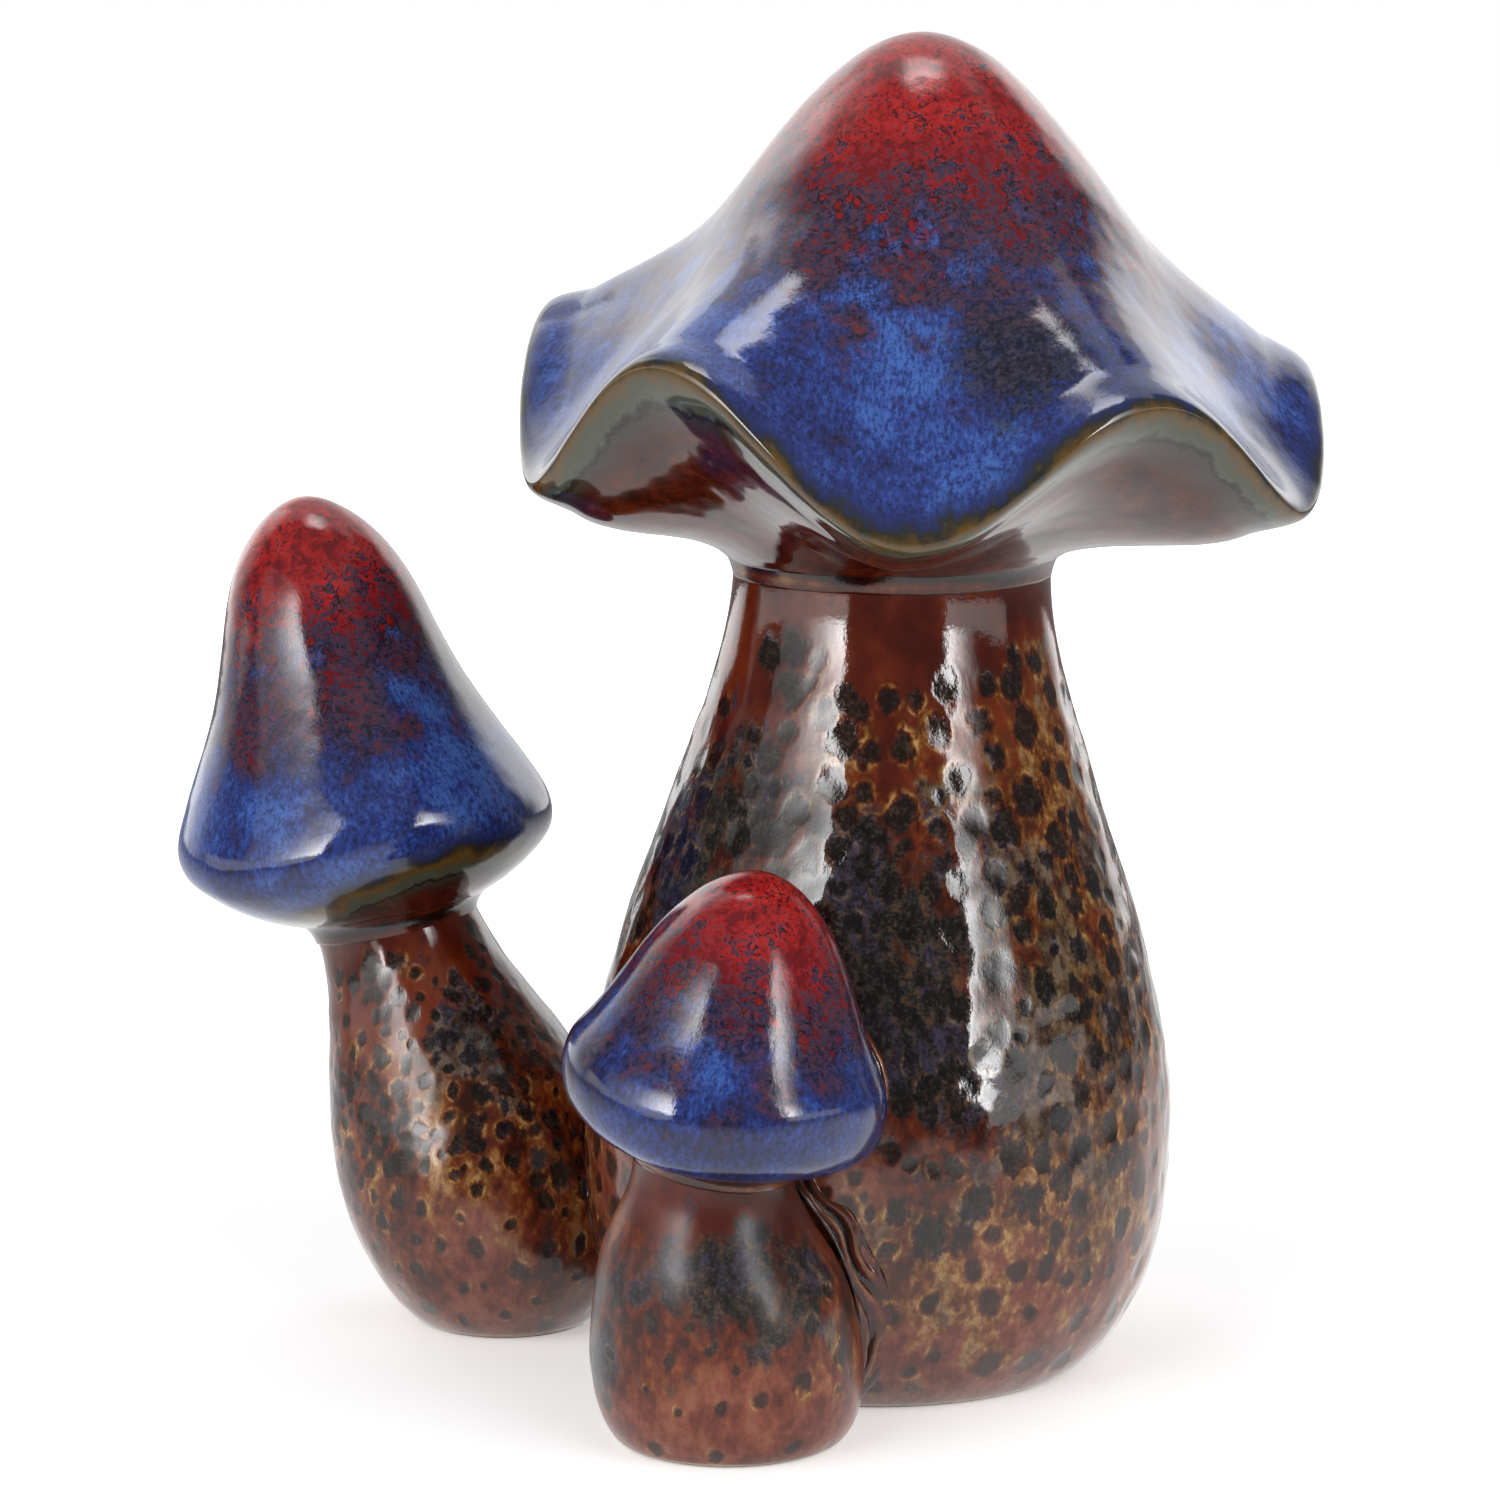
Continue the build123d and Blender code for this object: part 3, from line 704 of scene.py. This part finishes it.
def slip_ribbon(node, path, normal_a, normal_b, widths, ridges, closed, seed):
    """Smeared strip of slip along a crease between two surfaces, with ridges along it."""
    shared = np.sum(normal_a * normal_b, axis=1, keepdims=True)
    across_a = unit(normal_b - normal_a * shared)
    across_b = unit(normal_a - normal_b * shared)
    out = unit(normal_a + normal_b)
    uneven_a = 1 + ridges["waver"] * wander(path, WAVER_SIZES[0], seed)
    uneven_b = 1 + ridges["waver"] * wander(path, WAVER_SIZES[1], seed + 2)
    start = path + across_a * (widths[0] * uneven_a)[:, None] - normal_a * SLIP_SINK
    end = path + across_b * (widths[1] * uneven_b)[:, None] - normal_b * SLIP_SINK
    middle = path + out * ridges["fill"]
    drift = FOLD_DRIFT * wander(path, FOLD_DRIFT_SIZE, seed + 4)
    rings = []
    lifts = []
    for share in np.linspace(0, 1, ridges["points"]):
        base = (1 - share) ** 2 * start + 2 * share * (1 - share) * middle + share**2 * end
        fold = np.sin(2 * math.pi * (ridges["count"] * (share + drift) + FOLD_START))
        fold = fold * (FOLD_HEIGHT + FOLD_SWING * wander(base, FOLD_SWING_SIZE, seed + 6))
        fold = fold + FOLD_GRAIN * wander(base, FOLD_GRAIN_SIZE, seed + 8)
        lift = fold * math.sin(math.pi * share)
        rings.append(base + out * (ridges["height"] * lift)[:, None])
        lifts.append(lift)
    rings.append(path - out * SLIP_BACK)
    lifts.append(np.zeros(len(path)))
    body = np.stack(rings, axis=1)
    body[..., 2] = np.maximum(body[..., 2], 0)
    relief = np.stack(lifts, axis=1)
    rows, columns = body.shape[:2]
    if closed:
        vertices, faces = body.reshape(-1, 3), ring_faces(rows, columns, looped=True)
        attributes = {"ridge": relief.reshape(-1)}
    else:
        vertices, faces = closed_body(body)
        attributes = {"ridge": with_ends(relief)}
    finish_mesh(node, vertices, faces, attributes, "slip_glaze")


def neck_ring(node, neck, stem, cap, width, seed):
    """Ring of slip in the corner between a neck and the underside of its cap."""
    origin, x_axis, y_axis, z_axis = neck
    turns = np.linspace(0, 2 * math.pi, NECK_RING_POINTS, endpoint=False)
    spoke = np.cos(turns)[:, None] * x_axis + np.sin(turns)[:, None] * y_axis
    path = origin + spoke * (stem["neck"] + RING_OUT) + z_axis * SLIP * RING_LIFT
    slope = math.atan(cap["underside"][1])
    roof = -z_axis * math.cos(slope) + spoke * math.sin(slope)
    slip_ribbon(node, path, spoke, roof, (width, width), BEDDED, True, seed)


def seam_path(small_gap, heading, seam):
    """Points along the crease where a small body meets the big stem, from the ground or all round it."""
    centres, radii = big_grid["centres"], big_grid["radii"]
    steps = np.linspace(0, SEAM_REACH, SEAM_STEPS)
    path = []
    for turn in np.radians(np.linspace(-90, 270, SEAM_RAYS, endpoint=False)):
        across, up = math.cos(turn) * steps, seam["middle"] + math.sin(turn) * steps
        radius = np.interp(up, centres[:, 2], radii)
        middle = np.interp(up, centres[:, 2], centres[:, 0])
        headings = math.radians(heading) + across / radius
        ray = np.stack([middle + radius * np.cos(headings), radius * np.sin(headings), up], axis=1)
        outside = ray[small_gap(ray) > 0]
        if len(outside) and (seam["closed"] or outside[0][2] >= 0):
            path.append(outside[0])
    path = np.array(path)
    for _ in range(SEAM_SMOOTHINGS):
        inner = (path[:-2] + 2 * path[1:-1] + path[2:]) / 4
        path = np.concatenate([path[:1], inner, path[-1:]])
    return path


def make_seam(node, small_gap, heading, seam):
    """Slip in the crease between the big stem and a body that leans against it."""
    path = seam_path(small_gap, heading, seam)
    sides = outwards(small_gap, path), outwards(big_gap, path)
    slip_ribbon(node, path, *sides, seam["widths"], seam["ridges"], seam["closed"], seam["seed"])


# Node helpers

def colour(red, green, blue):
    """Colour given as on a screen, from 0 to 255, in the renderer's own scale."""
    values = []
    for level in (red, green, blue):
        share = level / 255
        values.append(share / 12.92 if share <= 0.04045 else ((share + 0.055) / 1.055) ** 2.4)
    return (*values, 1.0)


class Shader:
    """A material's node tree with short ways to add to it."""

    def __init__(self, name):
        self.material = bpy.data.materials.new(name)
        self.material.use_nodes = True
        self.tree = self.material.node_tree
        self.surface = self.tree.nodes["Principled BSDF"]

    def add(self, kind, inputs=(), **settings):
        """New node; inputs are (socket, value or socket) pairs."""
        node = self.tree.nodes.new(kind)
        for key, value in settings.items():
            setattr(node, key, value)
        for socket, value in inputs:
            if isinstance(value, bpy.types.NodeSocket):
                self.tree.links.new(value, node.inputs[socket])
            else:
                node.inputs[socket].default_value = value
        return node

    def attribute(self, name):
        """Value kept on the mesh's points."""
        return self.add("ShaderNodeAttribute", attribute_name=name).outputs["Fac"]

    def position(self):
        """Place in the object's own frame, in metres."""
        return self.add("ShaderNodeTexCoord").outputs["Object"]

    def vector(self, x, y, z):
        """Vector from three values."""
        return self.add("ShaderNodeCombineXYZ", [("X", x), ("Y", y), ("Z", z)]).outputs["Vector"]

    def noise(self, vector, scale, detail=2.0, roughness=0.5, warp=0.0):
        """Noise value from 0 to 1."""
        inputs = [("Vector", vector), ("Scale", scale), ("Detail", detail), ("Roughness", roughness)]
        inputs.append(("Distortion", warp))
        return self.add("ShaderNodeTexNoise", inputs).outputs["Fac"]

    def cells(self, vector, scale):
        """Distance to the nearest point of a pattern of cells."""
        return self.add("ShaderNodeTexVoronoi", [("Vector", vector), ("Scale", scale)]).outputs["Distance"]

    def stretched(self, vector, share):
        """Place with its height scaled by a share, so that patterns run up and down."""
        inputs = [(0, vector), (1, (1, 1, share))]
        return self.add("ShaderNodeVectorMath", inputs, operation="MULTIPLY").outputs[0]

    def math(self, operation, first, second=0.0):
        """Result of an operation on one or two values."""
        return self.add("ShaderNodeMath", [(0, first), (1, second)], operation=operation).outputs[0]

    def times(self, first, second):
        """Product of two values."""
        return self.math("MULTIPLY", first, second)

    def scaled(self, value, factor, offset):
        """Value times a factor, plus an offset."""
        inputs = [(0, value), (1, factor), (2, offset)]
        return self.add("ShaderNodeMath", inputs, operation="MULTIPLY_ADD").outputs[0]

    def sway(self, value, noise_value, amount):
        """Value moved up and down by a noise of the given strength."""
        return self.scaled(self.math("SUBTRACT", noise_value, 0.5), amount, value)

    def step(self, value, low, high):
        """Smooth rise from 0 at low to 1 at high."""
        inputs = [("Value", value), ("From Min", low), ("From Max", high)]
        return self.add("ShaderNodeMapRange", inputs, interpolation_type="SMOOTHSTEP").outputs["Result"]

    def band(self, value, low, high, soft):
        """1 between two values, falling off on both sides."""
        rise = self.step(value, low - soft, low + soft)
        fall = self.step(value, high + soft, high - soft)
        return self.times(rise, fall)

    def mix(self, share, first, second):
        """Colour between two colours."""
        inputs = [(0, share), (6, first), (7, second)]
        return self.add("ShaderNodeMix", inputs, data_type="RGBA").outputs[2]

    def blend(self, value, stops):
        """Colour along a run of (place, (red, green, blue)) stops."""
        node = self.add("ShaderNodeValToRGB", [("Fac", value)])
        ramp = node.color_ramp
        while len(ramp.elements) < len(stops):
            ramp.elements.new(1.0)
        for element, (spot, levels) in zip(ramp.elements, stops):
            element.position = spot
            element.color = colour(*levels)
        return node.outputs["Color"]

    def bump(self, height, distance):
        """Surface normal tilted by a height, with the distance in metres."""
        return self.add("ShaderNodeBump", [("Height", height), ("Distance", distance)]).outputs["Normal"]

    def sums(self):
        """The ways to work with values and colours, for short names in a glaze."""
        return self.sway, self.step, self.band, self.mix, self.blend, self.times, self.scaled

    def set(self, socket, value):
        """Fixed value of the surface."""
        self.surface.inputs[socket].default_value = value

    def link(self, socket, value):
        """Value into the surface."""
        self.tree.links.new(value, self.surface.inputs[socket])


# Cap glaze: red crown, broken purple band, blue brim, ochre edge and red-brown underside

def cap_glaze():
    """Material of the caps."""
    shader = Shader("cap_glaze")
    sway, step, band, mix, blend, times, scaled = shader.sums()
    place_in = shader.position()
    along = shader.attribute("along")
    cloud = shader.attribute("cloud")
    slow_arc = times(shader.attribute("arc"), 0.4)
    flow = shader.vector(shader.attribute("flow_x"), shader.attribute("flow_y"), slow_arc)
    broad = shader.noise(place_in, 45.0, 3.0)
    medium = shader.noise(place_in, 150.0, 4.0, 0.6)
    fine = shader.noise(place_in, 620.0, 4.0, 0.65, 0.6)
    grain = shader.noise(place_in, 1500.0, 3.0, 0.65)
    streak = shader.noise(flow, 0.35, 4.0, 0.62)
    thread = shader.noise(flow, 2.2, 4.0, 0.65)

    level = sway(sway(along, broad, 0.5), streak, 0.25)
    red = blend(sway(medium, fine, 0.9), [
        (0.36, (108, 20, 26)), (0.48, (154, 28, 30)),
        (0.60, (176, 36, 34)), (0.72, (190, 56, 44)),
    ])
    plum = blend(sway(fine, grain, 0.8), [
        (0.34, (28, 21, 32)), (0.44, (50, 43, 68)), (0.53, (68, 51, 74)),
        (0.62, (90, 47, 54)), (0.72, (124, 40, 42)),
    ])
    tone = scaled(cloud, -0.12, 0.5)
    tone = sway(sway(sway(tone, thread, 0.6), broad, 0.8), medium, 0.5)
    blue = blend(tone, [
        (0.34, (32, 36, 76)), (0.46, (40, 52, 112)),
        (0.56, (48, 68, 140)), (0.70, (68, 104, 180)),
    ])
    pepper = step(sway(thread, grain, 2.0), 0.45, 0.31)
    blue = mix(times(pepper, 0.45), blue, colour(22, 22, 36))

    ragged = sway(sway(level, fine, 1.3), medium, 0.7)
    body = mix(step(ragged, 0.30, 0.40), red, plum)
    cover = sway(scaled(cloud, -0.10, level), medium, 1.0)
    body = mix(step(cover, 0.52, 0.80), body, blue)

    drop = sway(shader.cells(shader.stretched(place_in, 0.6), 400.0), fine, 1.6)
    drop_zone = band(level, 0.36, 0.54, 0.06)
    drop_zone = times(drop_zone, step(medium, 0.47, 0.56))
    rim_of_drop = times(step(drop, 0.38, 0.32), drop_zone)
    heart_of_drop = times(step(drop, 0.31, 0.22), drop_zone)
    body = mix(rim_of_drop, body, colour(30, 13, 26))
    body = mix(heart_of_drop, body, colour(138, 25, 28))

    worm = shader.noise(place_in, 430.0, 2.0, 0.5, 1.6)
    worm = step(shader.math("ABSOLUTE", shader.math("SUBTRACT", worm, 0.5)), 0.045, 0.015)
    worm = times(worm, step(sway(medium, grain, 1.0), 0.45, 0.58))
    worm = times(worm, band(level, 0.06, 0.66, 0.10))
    body = mix(times(worm, 0.85), body, colour(20, 10, 20))

    char = sway(sway(cloud, medium, 1.6), fine, 1.6)
    char = times(step(char, 0.28, 0.80), 0.78)
    soot = blend(sway(fine, grain, 1.0), [(0.36, (14, 14, 16)), (0.52, (38, 38, 42)), (0.66, (60, 58, 72))])
    body = mix(char, body, soot)

    edge = shader.attribute("edge")
    smooth = step(edge, 1.02, 0.96)
    edge = sway(sway(edge, medium, 0.06), streak, 0.08)
    # Lip bands: blue, dark olive, ochre, grey-green, a dark line, then a grey-brown band that is a painted
    # reflection of the floor on the underside's outer rim, then red-brown
    lip = blend(step(edge, 0.93, 1.15), [
        (0.05, (36, 43, 86)), (0.13, (44, 45, 40)), (0.25, (104, 76, 32)),
        (0.42, (78, 84, 68)), (0.52, (84, 88, 74)), (0.60, (34, 26, 20)),
        (0.68, (66, 58, 50)), (0.95, (70, 26, 15)),
    ])
    below = blend(sway(medium, fine, 0.5), [
        (0.36, (48, 14, 8)), (0.50, (76, 25, 12)), (0.66, (102, 40, 19)),
    ])
    below = mix(step(grain, 0.68, 0.74), below, colour(150, 74, 40))
    lip = mix(step(edge, 1.09, 1.14), lip, below)
    body = mix(step(edge, 0.92, 0.98), body, lip)
    shader.link("Base Color", body)

    shader.link("Roughness", scaled(grain, 0.08, 0.04))
    relief = sway(sway(thread, fine, 0.8), grain, 0.4)
    relief = times(relief, smooth)
    shader.link("Normal", shader.bump(relief, 0.018 * MM))
    shader.set("IOR", GLAZE_IOR)
    return shader.material


# Stem glaze: amber neck, pits ringed with ochre, dark granular middle, red-brown foot lightened by a painted
# veil of floor reflection

def stem_glaze():
    """Material of the stems."""
    shader = Shader("stem_glaze")
    sway, step, band, mix, blend, times, scaled = shader.sums()
    place_in = shader.position()
    drip = shader.stretched(place_in, 0.65)
    height = shader.attribute("height")
    broad = shader.noise(place_in, 55.0, 3.0)
    medium = shader.noise(drip, 190.0, 4.0, 0.6)
    fine = shader.noise(drip, 600.0, 4.0, 0.65)
    grain = shader.noise(place_in, 1700.0, 3.0, 0.65)

    low = step(sway(height, broad, 0.9), 0.36, 0.16)
    high = step(sway(height, broad, 0.5), 0.70, 0.86)
    veil = sway(medium, fine, 0.7)
    base = blend(veil, [(0.36, (54, 18, 8)), (0.50, (100, 38, 14)), (0.66, (140, 74, 28))])
    # Red-brown glaze low on the stem, lightened and hazed by a painted reflection of the floor
    low_glaze_and_floor_sheen = blend(veil, [(0.36, (102, 46, 32)), (0.50, (130, 66, 48)), (0.66, (150, 90, 66))])
    amber = blend(sway(broad, medium, 0.6), [
        (0.36, (70, 20, 8)), (0.50, (92, 29, 11)), (0.66, (122, 50, 18)),
    ])
    base = mix(high, mix(low, base, low_glaze_and_floor_sheen), amber)

    dark = sway(sway(shader.attribute("cloud"), broad, 1.6), medium, 2.0)
    dark = step(dark, 0.30, 0.62)
    gloom = blend(sway(fine, grain, 1.0), [
        (0.32, (12, 12, 12)), (0.46, (32, 32, 33)), (0.58, (52, 51, 46)),
        (0.72, (92, 62, 34)),
    ])
    violet = step(sway(broad, medium, 1.4), 0.47, 0.60)
    night = blend(sway(fine, grain, 1.0), [
        (0.34, (14, 14, 18)), (0.50, (34, 36, 48)), (0.66, (50, 54, 84)),
    ])
    gloom = mix(times(violet, 0.8), gloom, night)
    base = mix(times(dark, 0.95), base, gloom)

    swing = scaled(low, -0.8, 1.3)
    spots = sway(sway(shader.attribute("pit"), fine, swing), medium, swing)
    gold = sway(sway(shader.attribute("gold"), broad, 1.4), medium, 2.6)
    ochre = blend(sway(medium, fine, 1.4), [
        (0.34, (76, 46, 17)), (0.48, (118, 78, 31)),
        (0.60, (156, 116, 58)), (0.72, (192, 158, 100)),
    ])
    ring = times(band(spots, 0.98, 1.18, 0.14), step(gold, 0.10, 0.50))
    net = times(step(spots, 1.00, 1.22), step(gold, 0.50, 0.90))
    ring = shader.math("MAXIMUM", ring, times(net, 0.65))
    ring = times(ring, scaled(dark, -0.6, 0.95))
    base = mix(ring, base, ochre)
    core = step(spots, 1.02, 0.58)
    shade = sway(grain, fine, 0.8)
    black = blend(shade, [(0.36, (11, 9, 8)), (0.50, (27, 22, 19)), (0.68, (58, 48, 40))])
    brown = blend(shade, [(0.36, (26, 18, 16)), (0.50, (39, 28, 24)), (0.68, (62, 45, 37))])
    core = times(core, scaled(low, -0.05, 0.93))
    base = mix(core, base, mix(low, black, brown))

    clay = step(sway(shader.attribute("clay"), medium, 0.4), 0.45, 0.60)
    bare = mix(fine, colour(196, 172, 146), colour(222, 206, 184))
    shader.link("Base Color", mix(clay, base, bare))

    dull = shader.attribute("dull")
    shader.link("Specular IOR Level", scaled(dull, -0.6, 0.5))
    rough = scaled(grain, 0.06, shader.math("ADD", dull, 0.03))
    shader.link("Roughness", shader.math("MAXIMUM", rough, times(clay, 0.8)))
    relief = scaled(core, -0.4, sway(fine, grain, 0.2))
    shader.link("Normal", shader.bump(relief, 0.03 * MM))
    shader.set("IOR", GLAZE_IOR)
    return shader.material


# Slip: the same glaze pooled dark in the folds and broken to ochre on the ridges

def slip_glaze():
    """Material of the slip."""
    shader = Shader("slip_glaze")
    sway, step, mix, blend, scaled = shader.sway, shader.step, shader.mix, shader.blend, shader.scaled
    place_in = shader.position()
    ridge = shader.attribute("ridge")
    medium = shader.noise(place_in, 190.0, 4.0, 0.6)
    fine = shader.noise(place_in, 620.0, 4.0, 0.62)
    grain = shader.noise(place_in, 1700.0, 3.0, 0.65)
    worn = sway(sway(ridge, medium, 1.2), fine, 0.6)
    body = blend(step(worn, -0.9, 1.3), [
        (0.12, (26, 12, 9)), (0.36, (72, 28, 14)), (0.62, (98, 40, 17)),
        (0.88, (146, 92, 44)),
    ])
    body = mix(step(grain, 0.66, 0.76), body, colour(24, 16, 14))
    shader.link("Base Color", body)
    shader.link("Roughness", scaled(grain, 0.08, 0.06))
    shader.link("Normal", shader.bump(fine, 0.06 * MM))
    shader.set("IOR", GLAZE_IOR)
    return shader.material


# The twelve pieces

glazes = {"cap_glaze": cap_glaze(), "stem_glaze": stem_glaze(), "slip_glaze": slip_glaze()}
big_grid = stem_grid(BIG_STEM, big_foot, big_neck)
left_grid = stem_grid(LEFT_STEM, left_foot, left_neck)
front_grid = stem_grid(FRONT_STEM, front_foot, front_neck)
big_gap = stem_gap(big_grid)
make_stem("big_stem", big_grid, BIG_VENT, BIG_PITS, BIG_CLOUDS, BIG_GOLDS)
make_stem("left_stem", left_grid, left_foot, LEFT_PITS, LEFT_CLOUDS, LEFT_GOLDS, big_gap)
make_stem("front_stem", front_grid, front_foot, FRONT_PITS, FRONT_CLOUDS, FRONT_GOLDS, big_gap)
make_cap("big_cap", BIG_CAP, cap_grid(BIG_CAP, big_neck, BIG_CAP_STEP), BIG_CAP_CLOUDS, seed=21)
make_cap("left_cap", LEFT_CAP, cap_grid(LEFT_CAP, left_neck, SMALL_CAP_STEP), LEFT_CAP_CLOUDS, seed=23)
make_cap("front_cap", FRONT_CAP, cap_grid(FRONT_CAP, front_neck, SMALL_CAP_STEP), [], 25, big_gap)
neck_ring("big_cap_slip", big_neck, BIG_STEM, BIG_CAP, width=2.4, seed=31)
neck_ring("left_cap_slip", left_neck, LEFT_STEM, LEFT_CAP, width=2.6, seed=32)
neck_ring("front_cap_slip", front_neck, FRONT_STEM, FRONT_CAP, width=2.2, seed=33)
make_seam("left_stem_slip", stem_gap(left_grid), LEFT_HEADING, LEFT_SEAM)
make_seam("front_stem_slip", stem_gap(front_grid), FRONT_HEADING, FRONT_SEAM)
make_seam("front_cap_seam", cap_gap(FRONT_CAP, front_neck), FRONT_HEADING, CAP_SEAM)


# Floor, studio light and camera

scene = bpy.context.scene
scene.view_settings.view_transform = "Standard"


def white_share(tree):
    """1 for rays that should see plain white: from the camera, and in gloss and glass."""
    path = tree.nodes.new("ShaderNodeLightPath")
    total = path.outputs["Is Camera Ray"]
    for name in ("Is Glossy Ray", "Is Transmission Ray"):
        both = tree.nodes.new("ShaderNodeMath")
        both.operation = "MAXIMUM"
        tree.links.new(total, both.inputs[0])
        tree.links.new(path.outputs[name], both.inputs[1])
        total = both.outputs[0]
    return total


def make_floor():
    """Pale floor that fades to plain white away from the object and keeps its shadow near it."""
    corners = [(-FLOOR_HALF, -FLOOR_HALF, 0), (FLOOR_HALF, -FLOOR_HALF, 0)]
    corners += [(FLOOR_HALF, FLOOR_HALF, 0), (-FLOOR_HALF, FLOOR_HALF, 0)]
    floor = new_body("floor", corners, [(0, 1, 2, 3)], {})
    shader = Shader("floor_white")
    shader.set("Base Color", FLOOR_GREY)
    shader.set("Roughness", FLOOR_ROUGHNESS)
    shader.set("Specular IOR Level", 0.0)
    shader.set("Emission Color", WHITE)
    away = shader.add("ShaderNodeVectorMath", [(0, shader.position())], operation="LENGTH")
    far = shader.step(away.outputs["Value"], FLOOR_NEAR, FLOOR_FAR)
    glow = shader.scaled(far, 1 - FLOOR_GLOW, FLOOR_GLOW)
    shader.link("Emission Strength", shader.times(white_share(shader.tree), glow))
    floor.data.materials.append(shader.material)


def make_world():
    """White surroundings for the camera and in gloss, dimmer as a light."""
    world = bpy.data.worlds.new("studio")
    scene.world = world
    world.use_nodes = True
    tree = world.node_tree
    backdrop = tree.nodes["Background"]
    backdrop.inputs["Color"].default_value = WHITE
    level = tree.nodes.new("ShaderNodeMapRange")
    level.inputs["To Min"].default_value = WORLD_LEVEL
    level.inputs["To Max"].default_value = 1.0
    tree.links.new(white_share(tree), level.inputs["Value"])
    tree.links.new(level.outputs["Result"], backdrop.inputs["Strength"])


def strip_faces(count):
    """Faces of a strip of points in pairs."""
    return [(2 * step, 2 * step + 1, 2 * step + 3, 2 * step + 2) for step in range(count)]


def glowing(name, vertices, faces, levels):
    """Light panel with a level at each of its points, seen only in reflections."""
    panel = new_body(name, vertices, faces, {"glow": levels})
    shader = Shader(name)
    shader.set("Base Color", BLACK)
    shader.set("Specular IOR Level", 0.0)
    shader.set("Emission Color", WHITE)
    shader.link("Emission Strength", shader.attribute("glow"))
    panel.data.materials.append(shader.material)
    panel.visible_camera = False
    panel.visible_diffuse = False
    panel.visible_shadow = False
    panel.visible_transmission = False


def softbox(name, headings, heights, glow, fall=1.0, top_share=1.0):
    """Curved panel between two headings, whose level changes from the first to the second and upwards."""
    vertices = []
    levels = []
    for column in range(BOX_COLUMNS + 1):
        share = column / BOX_COLUMNS
        turn = CAMERA_SIDE + headings[0] + (headings[1] - headings[0]) * share
        spot = towards(turn) * BOX_DISTANCE
        level = glow[1] + (glow[0] - glow[1]) * (1 - share) ** fall
        for height, part in zip(heights, (1.0, top_share)):
            vertices.append((spot[0], spot[1], height))
            levels.append(level * part)
    glowing(name, vertices, strip_faces(BOX_COLUMNS), levels)


def lamp(name, heading, radiance):
    """Square lamp that lights the colours and shows in no reflection."""
    light = bpy.data.lights.new(name, "AREA")
    light.shape = "SQUARE"
    light.size = LAMP_SIZE
    light.energy = radiance * math.pi * LAMP_SIZE**2
    box = new_object(name, light)
    angle = math.radians(LAMP_LIFT)
    reach = towards(CAMERA_SIDE + heading) * math.cos(angle) + np.array([0, 0, math.sin(angle)])
    box.location = LAMP_TARGET + Vector(reach * BOX_DISTANCE)
    box.rotation_euler = (LAMP_TARGET - box.location).to_track_quat("-Z", "Y").to_euler()
    box.visible_glossy = False


def make_curtains():
    """Grey canopy over the camera and grey curtain round its sides, seen only in reflections."""
    sides = []
    for step in range(CURTAIN_STEPS + 1):
        spot = towards(CAMERA_SIDE + CURTAIN_TURN * (2 * step / CURTAIN_STEPS - 1)) * CURTAIN_RADIUS
        sides.append((spot[0], spot[1], 0))
        sides.append((spot[0], spot[1], CURTAIN_HEIGHT))
    canopy = []
    for step in range(CANOPY_STEPS + 1):
        side = CANOPY_SIDE * (2 * step / CANOPY_STEPS - 1)
        end = math.radians(CANOPY_END + CANOPY_SWEEP * (side / CANOPY_HEIGHT) ** 2)
        canopy.append((side, -CURTAIN_RADIUS, CANOPY_HEIGHT))
        canopy.append((side, -CANOPY_HEIGHT / math.tan(end), CANOPY_HEIGHT))
    for name, points, level in (("canopy", canopy, CANOPY_GLOW), ("curtain", sides, CURTAIN_GLOW)):
        glowing(name, points, strip_faces(len(points) // 2 - 1), [level] * len(points))


def make_table_top():
    """The table as it shows in reflections: bright near the object and dimmer further off."""
    points = []
    levels = []
    for radius, level in zip(TABLE_RADII, TABLE_LEVELS):
        for step in range(TABLE_COLUMNS):
            spot = towards(360 * step / TABLE_COLUMNS) * radius
            points.append((spot[0], spot[1], TABLE_LIFT))
            levels.append(level)
    glowing("table_top", points, ring_faces(len(TABLE_RADII), TABLE_COLUMNS), levels)


def make_top_box():
    """Panel overhead, for the glint on each crown and the soft lights in the folds of the big brim."""
    corners = []
    levels = []
    for reach, level in zip(TOP_REACH, TOP_LEVELS):
        corners += [(-TOP_SIDE, reach, TOP_HEIGHT), (TOP_SIDE, reach, TOP_HEIGHT)]
        levels += [level, level]
    glowing("top_box", corners, strip_faces(1), levels)


make_floor()
make_world()
make_curtains()
make_table_top()
make_top_box()
softbox("left_box", (-33, -84), BOX_HEIGHTS, glow=(24.0, 1.2), fall=3.2, top_share=BOX_TOP_SHARE)
softbox("right_box", (38, 60), BOX_HEIGHTS, glow=(25.0, 0.3), fall=2.0, top_share=BOX_TOP_SHARE)
softbox("left_table", (-33, -108), TABLE_HEIGHTS, glow=(2.6, 1.4), fall=1.5)
softbox("right_table", (38, 88), TABLE_HEIGHTS, glow=(2.6, 1.4), fall=1.5)
softbox("left_wall_edge", (-108, -145), WALL_HEIGHTS, glow=(0.25, 2.4))
softbox("left_wall", (-145, -178), WALL_HEIGHTS, glow=(2.2, 1.0))
softbox("left_high", (-108, -142), HIGH_HEIGHTS, glow=(0.3, 3.6), top_share=HIGH_TOP_SHARE)
softbox("right_wall_edge", (130, 145), WALL_HEIGHTS, glow=(0.25, 2.2))
softbox("right_wall", (145, 178), WALL_HEIGHTS, glow=(2.2, 1.0))
lamp("left_key", -45, KEY_LEVEL)
lamp("right_key", 45, KEY_LEVEL)
lamp("left_back", -135, BACK_LEVEL)
lamp("right_back", 135, BACK_LEVEL)

camera_data = bpy.data.cameras.new("camera")
camera_data.sensor_width = CAMERA_SENSOR
camera_data.lens = CAMERA_LENS
camera_data.clip_start = CAMERA_NEAR
camera = new_object("camera", camera_data)
camera.location = CAMERA_PLACE
camera.rotation_euler = (math.radians(CAMERA_TILT), 0, 0)
scene.camera = camera
